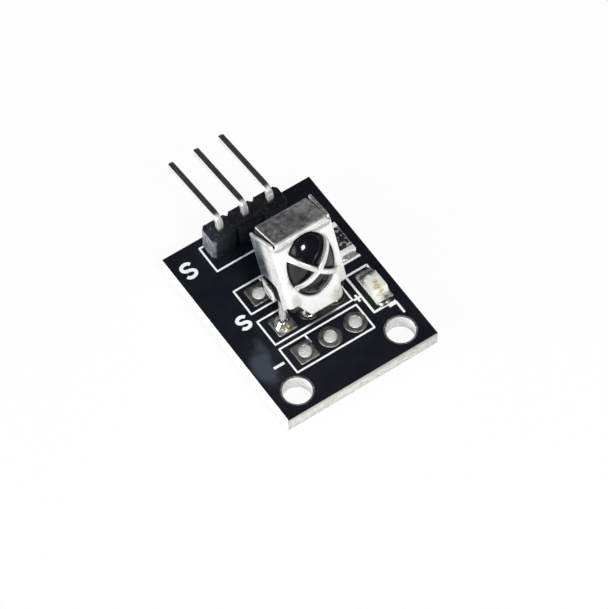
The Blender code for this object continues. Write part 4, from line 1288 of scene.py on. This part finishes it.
def bend_sheet(thing):
    """Swing the side walls to the right at their rear, lift the right one, and press in the crease."""
    for vertex in thing.data.vertices:
        x, y, z = vertex.co
        along = min(max((y - CAN_FRONT - SWING_START) / SWING_RUN, 0.0), 1.0)
        if abs(x) > CAN_HALF_WIDTH - 0.28 * MM and z < CAN_TOP + 0.02 * MM:
            vertex.co.x = x + (LEFT_SWING if x < 0 else RIGHT_SWING) * along
            if x > 0:
                upper = min(max((z - CAN_TOP + 3.0 * MM) / (2.0 * MM), 0.0), 1.0)
                vertex.co.z = z + RIGHT_LIFT * along * upper
        if y < CAN_FRONT + SHEET + 0.02 * MM:
            crease = math.exp(-(((z - CREASE_HEIGHT) / CREASE_REACH) ** 2))
            vertex.co.y = y + CREASE_DEPTH * crease * min((CAN_HALF_WIDTH - abs(x)) / (0.4 * MM), 1.0)


def window_cutter():
    """An oval block that cuts the window out of the front plate."""
    turns = [2 * math.pi * k / WINDOW_STEPS for k in range(WINDOW_STEPS)]
    oval = [(WINDOW_HALF_WIDTH * math.cos(turn), WINDOW_HALF_HEIGHT * math.sin(turn)) for turn in turns]
    body = bmesh.new()
    depths = (CAN_FRONT - 3 * MM, CAN_FRONT + 0.6 * MM)
    capped(body, [[body.verts.new((x, y, WINDOW_MIDDLE + z)) for x, z in oval] for y in depths])
    return from_bmesh("opening", body)


def make_shield():
    """The folded shield: its window cut free, the bowed cross set in, and the sheet's edges softened."""
    shield = frame_copy("shield_can", "shield")
    shield.data.transform(LEANED.inverted())
    for vertex in shield.data.vertices:
        if abs(abs(vertex.co.x) - FLAP_HALF_WIDTH) < 0.01 * MM and vertex.co.z > CAN_TOP - FLAP_BEND:
            vertex.co.x -= math.copysign(0.10 * MM, vertex.co.x)
    low = (-2.6 * MM, CAN_FRONT - 3 * MM, WINDOW_MIDDLE - 3.4 * MM)
    old_bars = block("old_bars", low, (2.6 * MM, CAN_FRONT - 0.002 * MM, WINDOW_MIDDLE + 3.2 * MM))
    for tool in (old_bars, window_cutter()):
        combine(shield, tool, "DIFFERENCE")
    shield = joined("shield", [shield] + [cross_bar(*ends) for ends in CROSS_BARS])
    skin = shield.modifiers.new("one skin", "REMESH")
    skin.mode = "VOXEL"
    skin.voxel_size = 0.055 * MM
    soft = shield.modifiers.new("softened edges", "SMOOTH")
    soft.factor = 0.5
    soft.iterations = 3
    shield = plain(shield)
    mark_edges(shield)
    bend_sheet(shield)
    shield.data.transform(LEANED)
    finish_piece(shade(shield, 60.0), tinplate(), ["shield_can"])


# The chip parts


def fillet(name, y, side, height, seed):
    """Solder from a chip's end down to the board: hollow in side view, narrower at its top, uneven."""
    end = y + side * (CHIP_HALF_LENGTH - 0.02 * MM)
    low = BOARD_TOP + 0.005 * MM
    columns = 18
    rows = 12
    body = bmesh.new()
    skin = []
    for row in range(rows + 1):
        t = row / rows
        out = end + side * FILLET_REACH * t
        rise = height * 0.86 * (1 - t) ** FILLET_HOLLOW + 0.012 * MM
        half = CHIP_HALF_WIDTH * (0.90 + 0.12 * math.sin(math.pi * t * 0.8))
        line = []
        for column in range(columns + 1):
            s = 2.0 * column / columns - 1.0
            crown = 1 - abs(s) ** FILLET_CROWN
            ahead = out + side * uneven((s, t, 0.0), 0.5, 0.05 * MM, seed) * t
            lift = crown * rise + uneven((s, t, 1.0), 0.6, 0.035 * MM, seed) * crown * (1 - t)
            line.append(body.verts.new((CHIP_X + half * s, ahead, low + lift)))
        skin.append(line)
    floor = [[body.verts.new((v.co.x, v.co.y, low - 0.004 * MM)) for v in line] for line in skin]
    rims = []
    for sheet in (skin, floor):
        for first, second in zip(sheet, sheet[1:]):
            for k in range(columns):
                body.faces.new((first[k], first[k + 1], second[k + 1], second[k]))
        right = [line[-1] for line in sheet[1:]]
        left = [line[0] for line in sheet[-2:0:-1]]
        rims.append(sheet[0] + right + sheet[-1][-2::-1] + left)
    bridge(body, rims)
    return shade(from_bmesh(name, body), 60.0)


def gold_under_lens():
    """The gold bond pads and the bond wire, as one piece."""
    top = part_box("led_base")[1].z
    pads_mm = ((-0.62, -0.34, -0.05, 0.30), (-0.30, -0.12, 0.22, 0.42), (0.30, 0.44, -0.10, 0.16))
    strips = []
    for y0, y1, x0, x1 in pads_mm:
        low = (CHIP_X + x0 * MM, LED_Y + y0 * MM, top)
        strips.append(block("strip", low, (CHIP_X + x1 * MM, LED_Y + y1 * MM, top + 0.018 * MM)))
    path = []
    steps = 14
    for t in (k / steps for k in range(steps + 1)):
        aside = 0.06 * MM * math.sin(3 * t)
        along = (0.02 + 0.62 * t) * MM
        lift = (0.19 + 0.26 * math.sin(math.pi * t) - 0.17 * t) * MM
        path.append(Vector((CHIP_X + aside, LED_Y + along, top + lift)))
    strips.append(swept("wire", path, rounded_square(0.045 * MM, 0.045 * MM, 0.02 * MM)))
    return shade(joined("indicator_gold", strips), 40.0)


def make_chip_ends(names, metal, ends, y, corner, height, seed):
    """A chip's two plated ends, each with the solder that runs from it down to the board."""
    cap, end, solder_node, solder_name = names
    for number, side in ((1, -1), (2, 1)):
        eased_piece(f"{cap}_{number}", f"{end}_{number}", ends, corner)
        wetted = fillet(f"{solder_name}_{number}", y, side, height, seed * number)
        finish_piece(wetted, metal, [f"{solder_node}_{number}"])


def make_indicator(metal, ends):
    """The indicator: pale base, gold under a clear lens, die and bond wire, plated ends and solder."""
    eased_piece("led_base", "indicator_base", indicator_base(), 0.02 * MM)
    names = ("led_terminal", "indicator_end", "led_solder", "indicator_solder")
    make_chip_ends(names, metal, ends, LED_Y, corner=0.018 * MM, height=0.40 * MM, seed=2.4)
    finish_piece(gold_under_lens(), gold_plate(), [])
    eased_piece("led_chip", "indicator_die", die(), 0.015 * MM)
    eased_piece("led_lens", "indicator_lens", clear_epoxy(), 0.04 * MM, 3)


def make_resistor(metal, ends):
    """The chip resistor: pale ceramic, a glazed top with no code on it, plated ends and solder."""
    low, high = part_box("resistor_body")
    slab = eased(block("resistor_ceramic", low, (high.x, high.y, high.z - 0.05 * MM)), 0.02 * MM)
    finish_piece(slab, ceramic(), ["resistor_body"])
    inner = CHIP_HALF_LENGTH - 0.42 * MM
    corner = (low.x + 0.05 * MM, RESISTOR_Y - inner, high.z - 0.06 * MM)
    glaze = block("resistor_glaze", corner, (high.x - 0.05 * MM, RESISTOR_Y + inner, high.z + 0.02 * MM))
    finish_piece(eased(glaze, 0.03 * MM, 3), resistor_glaze(), ["resistor_body"])
    names = ("resistor_cap", "resistor_end", "resistor_solder", "resistor_joint")
    make_chip_ends(names, metal, ends, RESISTOR_Y, corner=0.025 * MM, height=0.52 * MM, seed=3.7)


# The studio

CAMERA_AZIMUTH = math.radians(-34.09)
CAMERA_ELEVATION = math.radians(57.97)
CAMERA_ROLL = math.radians(-0.287)
CAMERA_ACROSS_MM = 0.409
CAMERA_UPWARD_MM = -0.713
CAMERA_BACK_MM = 312.125
FOCAL_PIXELS = 3729.226
FRAME_PIXELS = 609
SENSOR_MM = 36.0


def make_camera():
    """The camera of the photograph: far away with a long lens, its frame taken as 608 by 609."""
    level = math.cos(CAMERA_ELEVATION)
    x = math.cos(CAMERA_AZIMUTH)
    y = math.sin(CAMERA_AZIMUTH)
    right = Vector((x, y, 0.0))
    back = Vector((y * level, -x * level, math.sin(CAMERA_ELEVATION)))
    up = back.cross(right)
    across = right * math.cos(CAMERA_ROLL) + up * math.sin(CAMERA_ROLL)
    upward = up * math.cos(CAMERA_ROLL) - right * math.sin(CAMERA_ROLL)
    data = bpy.data.cameras.new("camera")
    data.sensor_width = SENSOR_MM
    data.lens = FOCAL_PIXELS / FRAME_PIXELS * SENSOR_MM
    data.clip_start = 0.001
    camera = link("camera", data)
    place = across * CAMERA_ACROSS_MM + upward * CAMERA_UPWARD_MM + back * CAMERA_BACK_MM
    turn = Matrix((across, upward, back)).transposed().to_4x4()
    camera.matrix_world = Matrix.Translation(place * MM + Vector((0.0, 0.0, BOARD_TOP))) @ turn
    bpy.context.scene.camera = camera


def softbox(name, direction, share, size, in_gloss=True):
    """A square soft lamp that lights a white surface facing it to a share of full white."""
    distance = 0.5
    data = bpy.data.lights.new(name, "AREA")
    data.size = size
    data.energy = share * (math.pi * distance) ** 2
    lamp = link(name, data)
    lamp.visible_glossy = in_gloss
    towards = Vector(direction).normalized()
    turn = towards.to_track_quat("Z", "Y").to_matrix().to_4x4()
    lamp.matrix_world = Matrix.Translation(towards * distance) @ turn


def floor_white():
    """The floor's material: nearly white to the camera, to gloss and through glass, clear from below."""
    white_share = 0.94
    made = Finish("floor_white", Base_Color=(0.85, 0.85, 0.85, 1.0), Roughness=0.9)
    ray = made.add("ShaderNodeLightPath").outputs
    seen = made.math("MAXIMUM", ray["Is Camera Ray"], ray["Is Glossy Ray"])
    seen = made.math("MAXIMUM", seen, ray["Is Transmission Ray"])
    white = made.math("MULTIPLY", seen, white_share)
    shown = made.add("ShaderNodeMixShader", {0: white, 1: made.shader, 2: made.add("ShaderNodeEmission")})
    below = made.add("ShaderNodeNewGeometry").outputs["Backfacing"]
    clear = made.add("ShaderNodeBsdfTransparent")
    both = made.add("ShaderNodeMixShader", {0: below, 1: shown, 2: clear})
    made.wire(made.tree.nodes["Material Output"].inputs["Surface"], both)
    return made.material


def make_floor():
    """A plain white floor under the lowest point of the pins."""
    low = cad_box[0].z
    half = 3.0
    mesh = bpy.data.meshes.new("floor")
    corners = ((-half, -half), (half, -half), (half, half), (-half, half))
    mesh.from_pydata([(x, y, low) for x, y in corners], [], [(0, 1, 2, 3)])
    mesh.materials.append(floor_white())
    link("floor", mesh)


def make_world():
    """A dim grey room, white where the camera looks past the floor."""
    world = bpy.context.scene.world or bpy.data.worlds.new("studio")
    bpy.context.scene.world = world
    world.use_nodes = True
    room = Nodes(world.node_tree)
    room.tree.nodes.clear()
    past_floor = room.add("ShaderNodeLightPath").outputs["Is Camera Ray"]
    dim = room.add("ShaderNodeBackground", {"Color": (0.045, 0.0465, 0.050, 1.0)})
    white = room.add("ShaderNodeBackground", {"Color": (1.0, 1.0, 1.0, 1.0)})
    mixed = room.add("ShaderNodeMixShader", {0: past_floor, 1: dim, 2: white})
    room.add("ShaderNodeOutputWorld", {0: mixed})


def make_studio():
    """The plain soft light, the floor and the room."""
    softbox("left_softbox", (-0.93, -0.06, 0.36), 0.84, 0.30)
    softbox("front_softbox", (0.62, -0.77, 0.16), 0.28, 0.40, in_gloss=False)
    softbox("key_lamp", (-0.08, -0.66, 0.75), 0.80, 0.12)
    make_floor()
    make_world()
    bpy.context.scene.view_settings.view_transform = "Standard"


def make_module():
    """Every piece of the module."""
    make_effects()
    make_board()
    make_marks()
    make_plated_holes()
    make_header()
    make_leads()
    make_receiver()
    make_shield()
    make_joints(solder("solder", (0.62, 0.63, 0.63), (0.92, 0.92, 0.90)))
    dull_metal = solder("dull_solder", (0.16, 0.16, 0.155), (0.46, 0.46, 0.45))
    make_indicator(dull_metal, end_metal("indicator_ends", stained=0.72, dark=0.36, metallic=0.62))
    grey_metal = solder("grey_solder", (0.30, 0.30, 0.29), (0.55, 0.55, 0.54), 0.6)
    make_resistor(grey_metal, end_metal("resistor_ends", stained=0.08, dark=0.93, metallic=0.0))


make_camera()
make_studio()
make_module()
